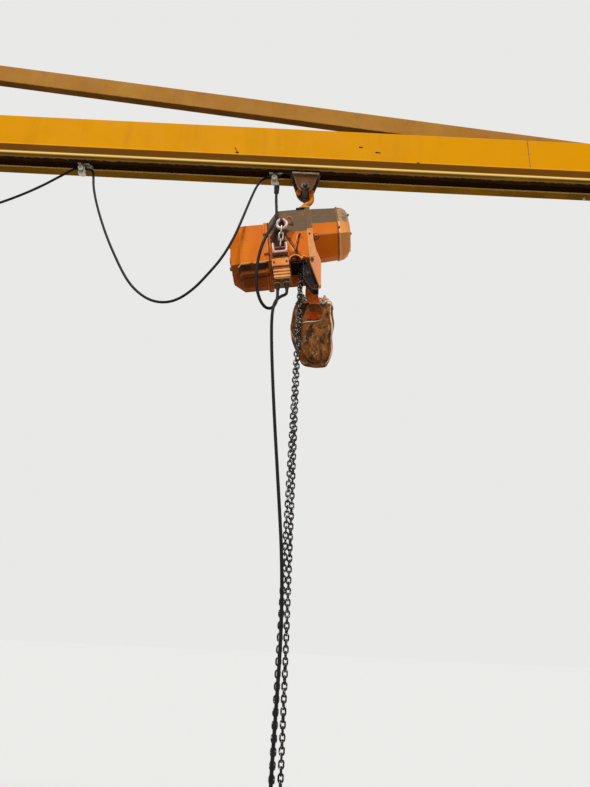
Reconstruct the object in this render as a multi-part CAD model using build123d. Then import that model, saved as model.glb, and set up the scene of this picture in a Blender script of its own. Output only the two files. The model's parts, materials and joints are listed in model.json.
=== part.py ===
from build123d import *
import math
import os

# Free-standing pillar jib crane with an electric chain hoist.
# Millimetres. X runs along the arm at rest, Z is up, and the origin lies on the
# floor face of the base plate, under the middle of the pillar.

# Pillar
PILLAR_SIDE = 240.0
PILLAR_WALL = 8.0
PILLAR_CORNER = 20.0
PILLAR_TOP = 4900.0
BASE_SIDE = 560.0
BASE_THICK = 25.0
BASE_CORNER = 30.0
ANCHOR_PITCH = 460.0
ANCHOR_HOLE = 27.0
GUSSET_HEIGHT = 220.0
GUSSET_REACH = 140.0
GUSSET_THICK = 12.0
GUSSET_OFFSET = 70.0
CAP_THICK = 6.0
CAP_OVERHANG = 5.0

# Pivot of the arm
PIVOT_X = 320.0
PIVOT_PIN = 50.0
PIVOT_FIT = 0.05
BUSH_WALL = 6.0
BUSH_FLANGE = 100.0
BUSH_FLANGE_THICK = 6.0
BRACKET_THICK = 25.0
BRACKET_WIDTH = 170.0
BRACKET_DROP = 190.0
WEB_THICK = 12.0
WEB_SPACING = 90.0
BACK_THICK = 12.0
THRUST_GAP = 0.3
LOWER_SEAT = 3560.0
POST_SIDE = 120.0
POST_WALL = 8.0
POST_CORNER = 12.0
POST_PLATE = 150.0
POST_PLATE_THICK = 20.0
UPPER_SEAT = PILLAR_TOP - 200.0
PIN_PROUD = 14.0

# Rail, a hollow track with a slot in its underside
RAIL_BOTTOM = 3810.0
RAIL_HEIGHT = 280.0
RAIL_WIDTH = 155.0
RAIL_NECK = 85.0
RAIL_WALL = 7.0
RAIL_EDGE = 18.0
RAIL_FLARE_TOP = 95.0
RAIL_ROUND = 7.0
SLOT_WIDTH = 50.0
ROOT_PLATE_THICK = 15.0
ROOT_PLATE_WIDTH = 200.0
ROOT_PLATE_OVER = 30.0
ARM_END = 5220.0
END_CAP_THICK = 6.0
STOP_LENGTH = 40.0
OUTER_STOP_X = ARM_END - 295.0
INNER_STOP_X = 690.0

# Overhead tie, a flat rectangular tube that lands on the rail
TIE_DEPTH = 110.0
TIE_WIDTH = 40.0
TIE_WALL = 5.0
TIE_SLOPE = 0.110
TIE_LAND_X = 5110.0

# Trolley and its pin
TROLLEY_X = 3420.0
PIN_Z = 3712.0
PIN_DIA = 30.0
PIN_HEAD = 46.0
PIN_HEAD_THICK = 14.0
WHEEL_DIA = 52.0
WHEEL_WIDTH = 16.0
WHEEL_INNER = 26.0
WHEEL_BASE = 110.0
AXLE_DIA = 16.0
ROLL_GAP = 0.3
BLOCK_LENGTH = 165.0
BLOCK_WIDTH = 28.0
BLOCK_HEIGHT = 40.0
BLOCK_LIFT = 8.0
NECK_LENGTH = 90.0
YOKE_TOP = 130.0
YOKE_FOOT = 78.0
YOKE_WIDTH = 84.0
YOKE_PLATE = 9.0
YOKE_BELOW_RAIL = 7.0
YOKE_BELOW_PIN = 20.0

# Cable carriers
CARRIER_1_X = 2265.0
TOW_CARRIER_X = 3260.0
CARRIER_WHEEL = 32.0
CARRIER_WHEEL_WIDTH = 12.0
CARRIER_BASE = 44.0
CARRIER_STRAP = 3.0
CARRIER_GAP = 10.0
SADDLE_DIA = 34.0
SADDLE_DROP = 41.0
CLAMP_LENGTH = 30.0
CLAMP_HEIGHT = 15.0
TOW_BAR = 10.0
OUTLET_X = 15.0
OUTLET_SIDE = 20.0
OUTLET_DROP = 28.0

# Cables
FESTOON_DIA = 12.0
POWER_DIA = 14.0
PENDANT_DIA = 14.0

# Hoist, drawn in its own frame with the pin at the origin and the motor towards +X
HOIST_TILT = 7.0
HOIST_YAW = 4.0
BODY_FRONT = 135.0
BODY_BACK = 125.0
BODY_TOP = -245.0
BODY_BROW = -272.0
BODY_SLANT = 37.0
BODY_KNEE = -478.0
BODY_BOTTOM = -543.0
BODY_KEEL = 18.0
GEAR_END = -385.0
GEAR_SHOULDER = -333.0
GEAR_SEAM = -205.0
COVER_WALL = 17.0
COVER_DRAW = 46.0
COVER_BEAD = 4.0
COVER_BEAD_LENGTH = 12.0
CASTING_INSET = 5.0
FLANGE_LEFT = -12.0
FLANGE_RIGHT = 14.0
FLANGE_PROUD = 5.0
FACE_PLATE = 10.0
ROOF_FOOT = -324.0
ROOF_TOP = -132.0
ROOF_HALF = 48.0
ROOF_CUT = [(-206.0, -258.0), (-206.0, -90.0), (-140.0, -90.0), (-150.0, -137.0)]
LUG_TOP = -100.0
LUG_OUTLINE = [(-56.0, -140.0), (-34.0, LUG_TOP), (12.0, LUG_TOP), (14.0, -140.0)]
LUG_WIDTH = 44.0
POCKET_LEFT = -104.0
POCKET_RIGHT = -32.0
GROOVE_WIDTH = 9.0
GROOVE_DEPTH = 4.0
GROOVES = (
    [(-102.0, -356.0), (-76.0, -416.0), (-80.0, -478.0)],
    [(-50.0, -346.0), (-76.0, -416.0)],
)
MOTOR_AXIS_Z = -268.0
MOTOR_HALF = [(10.0, -132.0), (122.0, -84.0), (122.0, -16.0), (58.0, 118.0), (40.0, 126.0)]
MOTOR_END = 145.0
MOTOR_RIM = 8.0
MOTOR_CAP_END = 196.0
MOTOR_TAPER = 0.95
CAP_STEPS = (0.0, 0.45, 0.8, 1.0)
CAP_CORE = 0.62
CAP_SWELL = 0.35
CAP_CLOSE = 0.94

# Suspension hook
HOOK_BAR = 24.0
HOOK_TOP_RADIUS = 33.0
HOOK_LOW_RADIUS = 42.0
HOOK_SIDE_X = 33.0
HOOK_FOOT_Z = -82.0
HOOK_SHANK = 30.0
HOOK_PIN_GAP = 0.5
HOOK_TOP_TURN = 165.0

# Strain relief of the pendant cable: eye pin, ring, links and bow
EYE_X = -128.0
EYE_Z = -282.0
EYE_PIN = 14.0
EYE_OUT = 14.0
EYE_HOLD = 6.0
EYE_HEAD = 5.0
EYE_HEAD_DIA = 24.0
SEATED = 5.0
RING_RADIUS = 22.0
RING_BAR = 9.0
LINK_BAR = 8.0
LINK_PITCH = 39.6
LINK_WIDTH = 27.0
LINK_SLACK = 0.5
LINK_COUNT = 3
BOW_X = -146.0
BOW_HALF = 36.0
BOW_PIN_Z = -421.0
BOW_PIN_OUT = 15.5
BOW_BAR = 12.0
BOW_OUT = 30.0
BOW_DEPTH = 36.0
BOW_ABOVE = 16.0
BOW_ROUND = 6.0

# Cable glands
GLAND_Y = -118.0
GLAND_DIA = 30.0
GLAND_FOOT = -598.0
GLAND_LEAD = 30.0
POWER_GLAND_X = -172.0
PENDANT_GLAND_X = -130.0
BOOT_RIBS = 3
BOOT_PITCH = 16.0
BOOT_TOP = -520.0
BOOT_BOTTOM = -584.0
BOOT_FIRST_RIB = -542.0
BOOT_RIB = 8.0
BOOT_LEFT = -180.0
BOOT_RIGHT = -112.0
BOOT_FRONT = -145.0
BOOT_BACK = -70.0
BOSS_LEFT = -188.0
BOSS_RIGHT = -110.0
BOSS_FRONT = -153.0
BOSS_BACK = -90.0
BOSS_TOP = -476.0
BOSS_BOTTOM = -524.0

# Chain guide and the flange's ear, drawn on the front in (x, z)
GUIDE_OUTLINE = [
    (-42.0, -480.0),
    (-14.0, -480.0),
    (17.0, -612.0),
    (13.0, -640.0),
    (-12.0, -636.0),
    (-48.0, -578.0),
]
GUIDE_Y = -86.0
GUIDE_WIDTH = 46.0
EAR_OUTLINE = [
    (-12.0, -470.0),
    (FLANGE_RIGHT - 1.0, -380.0),
    (22.0, -445.0),
    (36.0, -497.0),
    (38.0, -511.0),
    (27.0, -632.0),
    (19.0, -640.0),
    (-12.0, -509.0),
]
EAR_Y = -124.0
EAR_WIDTH = 30.0

# Load chain and hook block
CHAIN_BAR = 7.1
CHAIN_SHARE = 2.2
FALL_FRONT_Y = -70.0
FALL_BACK_Y = -25.0
FALL_TOP = 3240.0
BLOCK_FALL_X = 17.5
BLOCK_FALL_Y = 14.0
BLOCK_TOP = 945.0
BLOCK_BODY = 130.0
BLOCK_DIA = 112.0
BLOCK_HOLE_DEPTH = 45.0
BLOCK_THICK = 84.0
BLOCK_AXLE = 30.0
BLOCK_FOOT = 26.0
BLOCK_SHOULDER = 18.0
BLOCK_WAIST = 12.0
BLOCK_HOLE = 27.0
BLOCK_AXLE_PROUD = 6.0
THROAT = 30.0
HOOK_STEEL = 26.0
HOOK_NECK = 26.0
HOOK_REACH = 96.0
HOOK_MOUTH = 60.0
HOOK_TURN = 285.0

# Slack chain bag
BAG_X = 66.0
BAG_Y = 48.0
BAG_TOP = 3092.0
BAG_HEIGHT = 330.0
BAG_CORNER = 0.35
BAG_SECTIONS = (
    (0.0, 150.0, 104.0, 0.0),
    (0.18, 176.0, 118.0, -2.0),
    (0.45, 192.0, 128.0, -3.0),
    (0.75, 176.0, 120.0, 10.0),
    (0.93, 140.0, 92.0, 20.0),
    (1.0, 90.0, 56.0, 22.0),
)
STRAP_LEFT = -40.0
STRAP_RIGHT = -4.0
STRAP_HEIGHT = 120.0
STRAP_THICK = 8.0
BAR_LEFT = -54.0
BAR_RIGHT = 62.0
BAR_FRONT = -50.0
BAR_BACK = 36.0

# Terminal box at the root of the rail, where the festoon cable begins
ANCHOR_BOX_X = 440.0
ANCHOR_BOX = (100.0, 90.0, 90.0)
ANCHOR_PAD = 18.0
ANCHOR_GLAND = 34.0

# Pendant control
PENDANT_TOP = (3403.0, -165.0, 1040.0)
PENDANT_SIZE = (62.0, 56.0, 170.0)
BUTTON_DIA = 26.0
BUTTON_PITCH = 42.0
BUTTON_PROUD = 12.0
BUTTON_COUNT = 3
BUTTON_FIRST = 62.0
PENDANT_BOOT = 40.0


def flat(points, plane, thick):
    """Closed outline on a plane, made solid to a thickness, half on each side."""
    face = make_face(plane * Polyline(*points, close=True))
    return extrude(face, amount=thick / 2, both=True)


def side_plane(y=0.0):
    """Vertical plane along the arm, its normal towards -Y."""
    return Plane(origin=(0, y, 0), x_dir=(1, 0, 0), z_dir=(0, -1, 0))


def cross_plane(x=0.0):
    """Vertical plane across the arm, its normal towards +X."""
    return Plane(origin=(x, 0, 0), x_dir=(0, 1, 0), z_dir=(1, 0, 0))


def block(x0, x1, y0, y1, z0, z1):
    """Box between two corners."""
    centre = ((x0 + x1) / 2, (y0 + y1) / 2, (z0 + z1) / 2)
    return Pos(*centre) * Box(x1 - x0, y1 - y0, z1 - z0)


def rod(start, end, dia):
    """Round bar from one point to another."""
    a = Vector(*start)
    b = Vector(*end)
    plane = Plane(origin=a, z_dir=(b - a))
    return extrude(plane * Circle(dia / 2), amount=(b - a).length)


def square_tube(side, wall, corner, z0, z1, x=0.0):
    """Upright square tube with rounded corners."""
    outer = RectangleRounded(side, side, corner)
    inner = RectangleRounded(side - 2 * wall, side - 2 * wall, corner - wall)
    return extrude(Pos(x, 0, z0) * (outer - inner), amount=z1 - z0)


def mirrored(points):
    """Outline from its +Y half, given from bottom to top."""
    return points + [(-y, z) for y, z in reversed(points)]


# Pillar


def base_plate():
    plate = extrude(RectangleRounded(BASE_SIDE, BASE_SIDE, BASE_CORNER), amount=BASE_THICK)
    for x in (-1, 1):
        for y in (-1, 1):
            spot = Pos(x * ANCHOR_PITCH / 2, y * ANCHOR_PITCH / 2, BASE_THICK / 2)
            plate -= spot * Cylinder(ANCHOR_HOLE / 2, BASE_THICK)
    return plate


def base_gussets():
    half = PILLAR_SIDE / 2
    outline = [
        (half, BASE_THICK),
        (half + GUSSET_REACH, BASE_THICK),
        (half + GUSSET_REACH, BASE_THICK + 30),
        (half + 25, BASE_THICK + GUSSET_HEIGHT),
        (half, BASE_THICK + GUSSET_HEIGHT),
    ]
    ribs = []
    for turn in range(4):
        for y in (-GUSSET_OFFSET, GUSSET_OFFSET):
            rib = flat(outline, side_plane(y), GUSSET_THICK)
            ribs.append(Rot(0, 0, 90 * turn) * rib)
    return Compound(ribs)


def pillar_column():
    return square_tube(PILLAR_SIDE, PILLAR_WALL, PILLAR_CORNER, BASE_THICK, PILLAR_TOP)


def pillar_cap():
    side = PILLAR_SIDE + 2 * CAP_OVERHANG
    plate = extrude(RectangleRounded(side, side, PILLAR_CORNER), amount=CAP_THICK)
    plate = chamfer(plate.faces().sort_by(Axis.Z)[-1].edges(), 2)
    return Pos(0, 0, PILLAR_TOP) * plate


def bearing_bracket(seat_z, side):
    """Seat plate with its webs. side is -1 with the webs below, or 1 above."""
    half = BRACKET_WIDTH / 2
    front = PILLAR_SIDE / 2
    outline = (
        Pos((front + PIVOT_X) / 2, 0, 0) * Rectangle(PIVOT_X - front, BRACKET_WIDTH)
        + Pos(PIVOT_X, 0, 0) * Circle(half)
    )
    bore = Pos(PIVOT_X, 0, 0) * Circle(PIVOT_PIN / 2 + BUSH_WALL)
    low = seat_z - BRACKET_THICK if side < 0 else seat_z
    seat = extrude(Pos(0, 0, low) * (outline - bore), amount=BRACKET_THICK)
    edge = seat_z + side * BRACKET_THICK
    far = seat_z + side * BRACKET_DROP
    back = block(front, front + BACK_THICK, -half, half, min(edge, far), max(edge, far))
    web_outline = [
        (front + BACK_THICK, edge),
        (PIVOT_X - PIVOT_PIN, edge),
        (PIVOT_X - PIVOT_PIN, edge + side * 20),
        (front + BACK_THICK, far - side * 10),
    ]
    bracket = seat + back
    for y in (-WEB_SPACING / 2, WEB_SPACING / 2):
        bracket += flat(web_outline, side_plane(y), WEB_THICK)
    return bracket


def pivot_bushes():
    """Two flanged bushes, pressed into the bracket seats."""
    bushes = []
    for seat_z, side in ((LOWER_SEAT, -1), (UPPER_SEAT, 1)):
        outer = PIVOT_PIN / 2 + BUSH_WALL
        inner = PIVOT_PIN / 2 + PIVOT_FIT
        low = seat_z - BRACKET_THICK if side < 0 else seat_z
        sleeve = extrude(Pos(PIVOT_X, 0, low) * (Circle(outer) - Circle(inner)), amount=BRACKET_THICK)
        flange_low = seat_z if side < 0 else seat_z - BUSH_FLANGE_THICK
        ring = Circle(BUSH_FLANGE / 2) - Circle(inner)
        bushes.append(sleeve + extrude(Pos(PIVOT_X, 0, flange_low) * ring, amount=BUSH_FLANGE_THICK))
    return Compound(bushes)


# Arm


def post_span():
    """Lower and upper face of the turning post between the two thrust faces."""
    return LOWER_SEAT + BUSH_FLANGE_THICK + THRUST_GAP, UPPER_SEAT - BUSH_FLANGE_THICK - THRUST_GAP


def slewing_post():
    low, high = post_span()
    return square_tube(
        POST_SIDE, POST_WALL, POST_CORNER, low + POST_PLATE_THICK, high - POST_PLATE_THICK, PIVOT_X
    )


def pivot_pins():
    """Closing plate and pin at each end of the post."""
    low, high = post_span()
    pins = []
    for z, side in ((low, -1), (high, 1)):
        plate_low = z if side < 0 else z - POST_PLATE_THICK
        plate = extrude(
            Pos(PIVOT_X, 0, plate_low) * RectangleRounded(POST_PLATE, POST_PLATE, POST_CORNER),
            amount=POST_PLATE_THICK,
        )
        reach = BUSH_FLANGE_THICK + THRUST_GAP + BRACKET_THICK + PIN_PROUD
        pin = rod((PIVOT_X, 0, z), (PIVOT_X, 0, z + side * reach), PIVOT_PIN)
        pin = chamfer(pin.faces().sort_by(Axis.Z)[0 if side < 0 else -1].edges(), 3)
        pins.append(plate + pin)
    return Compound(pins)


def rail_outline(shrink=0.0):
    """Outside of the rail in cross-section, or the same outline moved inwards."""
    half = RAIL_WIDTH / 2
    neck = RAIL_NECK / 2
    points = [
        (half, 0.0),
        (half, RAIL_EDGE),
        (neck, RAIL_FLARE_TOP),
        (neck, RAIL_HEIGHT),
    ]
    face = make_face(Polyline(*mirrored(points), close=True))
    if shrink:
        face = offset(face, amount=-shrink, kind=Kind.INTERSECTION)
    return face


def rail_section():
    outer = rail_outline()
    outer = fillet(outer.vertices(), RAIL_ROUND)
    slot = Pos(0, RAIL_WALL / 2) * Rectangle(SLOT_WIDTH, 2 * RAIL_WALL)
    return outer - rail_outline(RAIL_WALL) - slot


def rail_root_x():
    return PIVOT_X + POST_SIDE / 2 + ROOT_PLATE_THICK


def jib_rail():
    start = rail_root_x()
    plane = Plane(origin=(start, 0, RAIL_BOTTOM), x_dir=(0, 1, 0), z_dir=(1, 0, 0))
    return extrude(plane * rail_section(), amount=ARM_END - start)


def rail_root_plate():
    """Plate between the rail and the post, with a knee rib on each side of the rail."""
    x0 = PIVOT_X + POST_SIDE / 2
    low = RAIL_BOTTOM - ROOT_PLATE_OVER
    high = RAIL_BOTTOM + RAIL_HEIGHT + ROOT_PLATE_OVER
    half = ROOT_PLATE_WIDTH / 2
    plate = block(x0, x0 + ROOT_PLATE_THICK, -half, half, low, high)
    plate = fillet(plate.edges().filter_by(Axis.X), 10)
    x1 = x0 + ROOT_PLATE_THICK
    knee = [(x1, RAIL_NECK / 2), (x1 + 110, RAIL_NECK / 2), (x1 + 110, RAIL_NECK / 2 + 8), (x1, half - 8)]
    top = RAIL_BOTTOM + RAIL_HEIGHT - 60
    for side in (-1, 1):
        points = [(x, side * y) for x, y in knee]
        plate += flat(points, Plane(origin=(0, 0, top)), 10)
    return plate


def rail_end_cap():
    plane = Plane(origin=(ARM_END, 0, RAIL_BOTTOM), x_dir=(0, 1, 0), z_dir=(1, 0, 0))
    face = fillet(rail_outline().vertices(), RAIL_ROUND)
    cap = extrude(plane * face, amount=END_CAP_THICK)
    return cap


def rail_stops():
    """Buffer blocks that close the track at both ends."""
    stops = []
    half = RAIL_WIDTH / 2 - RAIL_WALL - 4
    low = RAIL_BOTTOM + RAIL_WALL
    for x, side in ((INNER_STOP_X, -1), (OUTER_STOP_X, 1)):
        foot_end = x + side * STOP_LENGTH
        post_end = x + side * 14
        body = block(min(x, foot_end), max(x, foot_end), -half, half, low, low + 8)
        post = block(min(x, post_end), max(x, post_end), -24, 24, low, low + 58)
        buffer = rod((x, 0, low + 34), (x - side * 14, 0, low + 34), 32)
        stops.append(body + post + buffer)
    return Compound(stops)


def tie_line(x, offset_down=0.0):
    """Height of the tie's upper edge, or of a line below it, at a place along the arm."""
    top = RAIL_BOTTOM + RAIL_HEIGHT
    return top + TIE_SLOPE * (TIE_LAND_X - x) - offset_down * math.hypot(1, TIE_SLOPE)


def tie_outline(shrink):
    """Side outline: an upright cut at the post and a long slant on the rail."""
    top = RAIL_BOTTOM + RAIL_HEIGHT
    x0 = PIVOT_X + POST_SIDE / 2
    drop = math.hypot(1, TIE_SLOPE)
    upper = shrink * drop
    lower = (TIE_DEPTH - shrink) * drop
    return [
        (x0, tie_line(x0) - lower),
        (TIE_LAND_X - lower / TIE_SLOPE, top),
        (TIE_LAND_X - upper / TIE_SLOPE, top),
        (x0, tie_line(x0) - upper),
    ]


def overhead_tie():
    body = flat(tie_outline(0.0), side_plane(), TIE_WIDTH)
    return body - flat(tie_outline(TIE_WALL), side_plane(), TIE_WIDTH - 2 * TIE_WALL)


def anchor_gland():
    """Point where the fixed end of the festoon cable leaves its box, and the way it points."""
    x = ANCHOR_BOX_X + ANCHOR_BOX[0] + ANCHOR_GLAND
    return Vector(x, 0, RAIL_BOTTOM - ANCHOR_PAD - ANCHOR_BOX[2] / 2)


def cable_anchor_box():
    """Terminal box under the root of the rail, with one gland towards the load end."""
    top = RAIL_BOTTOM - ANCHOR_PAD
    x0, x1 = ANCHOR_BOX_X, ANCHOR_BOX_X + ANCHOR_BOX[0]
    half = ANCHOR_BOX[1] / 2
    box = block(x0, x1, -half, half, top - ANCHOR_BOX[2], top)
    box = fillet(box.edges().filter_by(Axis.Y), 8)
    lid = block(x0 + 4, x1 - 4, -half - 6, -half, top - ANCHOR_BOX[2] + 4, top - 4)
    pad = block(x0 + 10, x1 - 10, -32, 32, top, RAIL_BOTTOM)
    end = anchor_gland()
    nut = rod((x1, 0, end.Z), (x1 + 12, 0, end.Z), GLAND_DIA + 6)
    sleeve = rod((x1, 0, end.Z), (end.X, 0, end.Z), GLAND_DIA)
    return box + lid + pad + nut + sleeve


# Trolley and cable carriers


def rolling_height(dia):
    """Centre height of a wheel that rolls on the rail's inner lips."""
    return RAIL_BOTTOM + RAIL_WALL + ROLL_GAP + dia / 2


def wheel_set(x, spread, dia, width, inner):
    """Two wheels on one axle line, each on its own side of the slot."""
    z = rolling_height(dia)
    wheels = []
    for side in (-1, 1):
        y0 = side * inner
        y1 = side * (inner + width)
        wheel = rod((x + spread, y0, z), (x + spread, y1, z), dia)
        hub = rod((x + spread, y0 - side * 2, z), (x + spread, y1 + side * 2, z), dia * 0.42)
        wheels.append(wheel + hub)
    return wheels


def trolley_wheels():
    wheels = []
    for spread in (-WHEEL_BASE / 2, WHEEL_BASE / 2):
        wheels += wheel_set(TROLLEY_X, spread, WHEEL_DIA, WHEEL_WIDTH, WHEEL_INNER)
    for spread in (-CARRIER_BASE / 2, CARRIER_BASE / 2):
        wheels += wheel_set(TOW_CARRIER_X, spread, CARRIER_WHEEL, CARRIER_WHEEL_WIDTH, WHEEL_INNER)
    return Compound(wheels)


def trolley_block():
    """Centre block between the wheels, with the neck that passes the slot."""
    low = RAIL_BOTTOM + RAIL_WALL + BLOCK_LIFT
    half = BLOCK_WIDTH / 2
    x0 = TROLLEY_X - BLOCK_LENGTH / 2
    x1 = TROLLEY_X + BLOCK_LENGTH / 2
    body = block(x0, x1, -half, half, low, low + BLOCK_HEIGHT)
    body = chamfer(body.edges().filter_by(Axis.Y), 10)
    neck_low = RAIL_BOTTOM - YOKE_BELOW_RAIL
    body += block(
        TROLLEY_X - NECK_LENGTH / 2, TROLLEY_X + NECK_LENGTH / 2, -half, half, neck_low, low + 5
    )
    reach = WHEEL_INNER - 2
    for spread in (-WHEEL_BASE / 2, WHEEL_BASE / 2):
        x = TROLLEY_X + spread
        z = rolling_height(WHEEL_DIA)
        body += rod((x, -reach, z), (x, reach, z), AXLE_DIA)
    bar_z = low + TOW_BAR
    body += block(
        TOW_CARRIER_X + CARRIER_BASE / 2 + CARRIER_WHEEL / 2 + 2, x0 + 1,
        -TOW_BAR / 2, TOW_BAR / 2, bar_z - TOW_BAR / 2, bar_z + TOW_BAR / 2,
    )
    return body


def trolley_yoke():
    """Folded fork under the rail: a top plate and two tapered cheeks."""
    top = RAIL_BOTTOM - YOKE_BELOW_RAIL
    half = YOKE_WIDTH / 2
    plate = block(
        TROLLEY_X - YOKE_TOP / 2 - 6, TROLLEY_X + YOKE_TOP / 2 + 6, -half - 5, half + 5, top - YOKE_PLATE, top
    )
    plate = fillet(plate.edges().filter_by(Axis.Z), 12)
    foot = PIN_Z - YOKE_BELOW_PIN
    cheek = [
        (TROLLEY_X - YOKE_TOP / 2, top - YOKE_PLATE),
        (TROLLEY_X - YOKE_FOOT / 2, PIN_Z),
        (TROLLEY_X - YOKE_FOOT / 2 + 16, foot),
        (TROLLEY_X + YOKE_FOOT / 2 - 16, foot),
        (TROLLEY_X + YOKE_FOOT / 2, PIN_Z),
        (TROLLEY_X + YOKE_TOP / 2, top - YOKE_PLATE),
    ]
    for side in (-1, 1):
        y = side * (half - YOKE_PLATE / 2)
        plate += flat(cheek, side_plane(y), YOKE_PLATE)
    bore = rod((TROLLEY_X, -half - 10, PIN_Z), (TROLLEY_X, half + 10, PIN_Z), PIN_DIA)
    return plate - bore


def yoke_pin():
    half = YOKE_WIDTH / 2
    pin = rod((TROLLEY_X, -half, PIN_Z), (TROLLEY_X, half, PIN_Z), PIN_DIA)
    for side in (-1, 1):
        face = Plane(origin=(TROLLEY_X, side * half, PIN_Z), z_dir=(0, side, 0))
        pin += extrude(face * RegularPolygon(PIN_HEAD / 2, 6), amount=PIN_HEAD_THICK)
    return pin


def carrier_frame(x, towed=False):
    """Small truck in the rail, with two straps down to the cable saddle."""
    z = rolling_height(CARRIER_WHEEL)
    reach = WHEEL_INNER - 2
    half = CARRIER_BASE / 2 + 8
    frame = block(x - half, x + half, -CARRIER_GAP, CARRIER_GAP, z - 6, z + 10)
    for spread in (-CARRIER_BASE / 2, CARRIER_BASE / 2):
        frame += rod((x + spread, -reach, z), (x + spread, reach, z), 8)
    axle_z = RAIL_BOTTOM - SADDLE_DROP
    for side in (-1, 1):
        y0 = side * CARRIER_GAP
        y1 = side * (CARRIER_GAP + CARRIER_STRAP)
        frame += block(x - 9, x + 9, min(y0, y1), max(y0, y1), axle_z - 9, z + 10)
    frame += rod((x, -CARRIER_GAP - 8, axle_z), (x, CARRIER_GAP + 8, axle_z), 8)
    if towed:
        end = x + CARRIER_BASE / 2 + CARRIER_WHEEL / 2 + 2
        bar_z = RAIL_BOTTOM + RAIL_WALL + BLOCK_LIFT + TOW_BAR
        frame += block(x + CARRIER_BASE / 2, end, -TOW_BAR / 2, TOW_BAR / 2, bar_z - 5, bar_z + 5)
    return frame


def carrier_saddle(x):
    """Moulded drum that bends the cable, with the clamp block on top."""
    axle_z = RAIL_BOTTOM - SADDLE_DROP
    half = CARRIER_GAP - 0.3
    drum = rod((x, -half, axle_z), (x, half, axle_z), SADDLE_DIA)
    drum = chamfer(drum.edges().filter_by(GeomType.CIRCLE), 2)
    top = axle_z + SADDLE_DIA / 2
    clamp = block(x - CLAMP_LENGTH / 2, x + CLAMP_LENGTH / 2, -half, half, top - 4, top + CLAMP_HEIGHT)
    clamp = fillet(clamp.edges().filter_by(Axis.Y), 2)
    return drum + clamp - rod((x, -half - 1, axle_z), (x, half + 1, axle_z), 8.2)


def tow_saddle():
    """Saddle whose cable leaves downwards, through an outlet beside the drum."""
    x = TOW_CARRIER_X + OUTLET_X
    axle_z = RAIL_BOTTOM - SADDLE_DROP
    half = CARRIER_GAP - 0.3
    outlet = block(x - OUTLET_SIDE / 2, x + OUTLET_SIDE / 2, -half, half, axle_z - OUTLET_DROP, axle_z - 6.0)
    outlet = fillet(outlet.edges().filter_by(Axis.Z), 4)
    return carrier_saddle(TOW_CARRIER_X) + outlet


def outlet_mouth():
    """Point where the power cable leaves the towed saddle."""
    return (TOW_CARRIER_X + OUTLET_X, 0.0, RAIL_BOTTOM - SADDLE_DROP - OUTLET_DROP)


def gland_points(x):
    """Mouth of a gland and a point straight out of it."""
    return hung_point(x, GLAND_Y, GLAND_FOOT), hung_point(x, GLAND_Y, GLAND_FOOT - GLAND_LEAD)


def clamp_end(x, side):
    """Where a festoon cable meets the clamp block of a carrier."""
    top = RAIL_BOTTOM - SADDLE_DROP + SADDLE_DIA / 2
    return (x + side * CLAMP_LENGTH / 2, 0.0, top + CLAMP_HEIGHT / 2)


def carrier_wheels():
    wheels = []
    for spread in (-CARRIER_BASE / 2, CARRIER_BASE / 2):
        wheels += wheel_set(CARRIER_1_X, spread, CARRIER_WHEEL, CARRIER_WHEEL_WIDTH, WHEEL_INNER)
    return Compound(wheels)


# Hoist


def hung(shape):
    """From the hoist's own frame to its place under the trolley pin."""
    return Pos(TROLLEY_X, 0, PIN_Z) * Rot(0, -HOIST_TILT, 0) * Rot(0, 0, -HOIST_YAW) * shape


def hung_point(x, y, z):
    place = Pos(TROLLEY_X, 0, PIN_Z) * Rot(0, -HOIST_TILT, 0) * Rot(0, 0, -HOIST_YAW) * Pos(x, y, z)
    return tuple(place.position)


def body_outline(inset=0.0):
    """Cross-section of the gear cover, in (y, z)."""
    front = -BODY_FRONT + inset
    back = BODY_BACK - inset
    knee = BODY_KNEE + inset / 2
    return [
        (BODY_KEEL, BODY_BOTTOM + inset),
        (back, knee),
        (back, BODY_BROW - inset),
        (back - BODY_SLANT, BODY_TOP - inset),
        (front + BODY_SLANT, BODY_TOP - inset),
        (front, BODY_BROW - inset),
        (front, knee),
        (-BODY_KEEL, BODY_BOTTOM + inset),
    ]


def casting_outline(inset=0.0):
    """Cross-section of the casting and its flange, with the steep roof above the front face."""
    front = -BODY_FRONT + inset
    back = BODY_BACK - inset
    knee = BODY_KNEE + inset / 2
    foot = ROOF_FOOT - inset / 2
    return [
        (BODY_KEEL, BODY_BOTTOM + inset),
        (back, knee),
        (back, foot),
        (ROOF_HALF, ROOF_TOP - inset),
        (-ROOF_HALF, ROOF_TOP - inset),
        (front, foot),
        (front, knee),
        (-BODY_KEEL, BODY_BOTTOM + inset),
    ]


def section_face(points, x):
    return make_face(cross_plane(x) * Polyline(*points, close=True))


def gear_cover():
    """Left housing, drawn in at its outer end and open towards the casting."""
    wall = COVER_WALL
    length = GEAR_SEAM - GEAR_SHOULDER
    shell = extrude(section_face(body_outline(), GEAR_SHOULDER), amount=length)
    drawn = section_face(body_outline(COVER_DRAW), GEAR_END)
    shell += loft([section_face(body_outline(), GEAR_SHOULDER), drawn])
    bead = section_face(body_outline(-COVER_BEAD), GEAR_SEAM - COVER_BEAD_LENGTH)
    shell += extrude(bead, amount=COVER_BEAD_LENGTH)
    inner = section_face(body_outline(wall), GEAR_SHOULDER)
    end = section_face(body_outline(COVER_DRAW + wall), GEAR_END + wall)
    return shell - extrude(inner, amount=length) - loft([inner, end])


def front_groove(points):
    """Groove of round section along a line on the casting's front, given in (x, z)."""
    axis_y = -BODY_FRONT + CASTING_INSET + GROOVE_WIDTH / 2 - GROOVE_DEPTH
    groove = None
    for (x0, z0), (x1, z1) in zip(points, points[1:]):
        run = rod((x0, axis_y, z0), (x1, axis_y, z1), GROOVE_WIDTH)
        groove = run if groove is None else groove + run
    return groove


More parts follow.
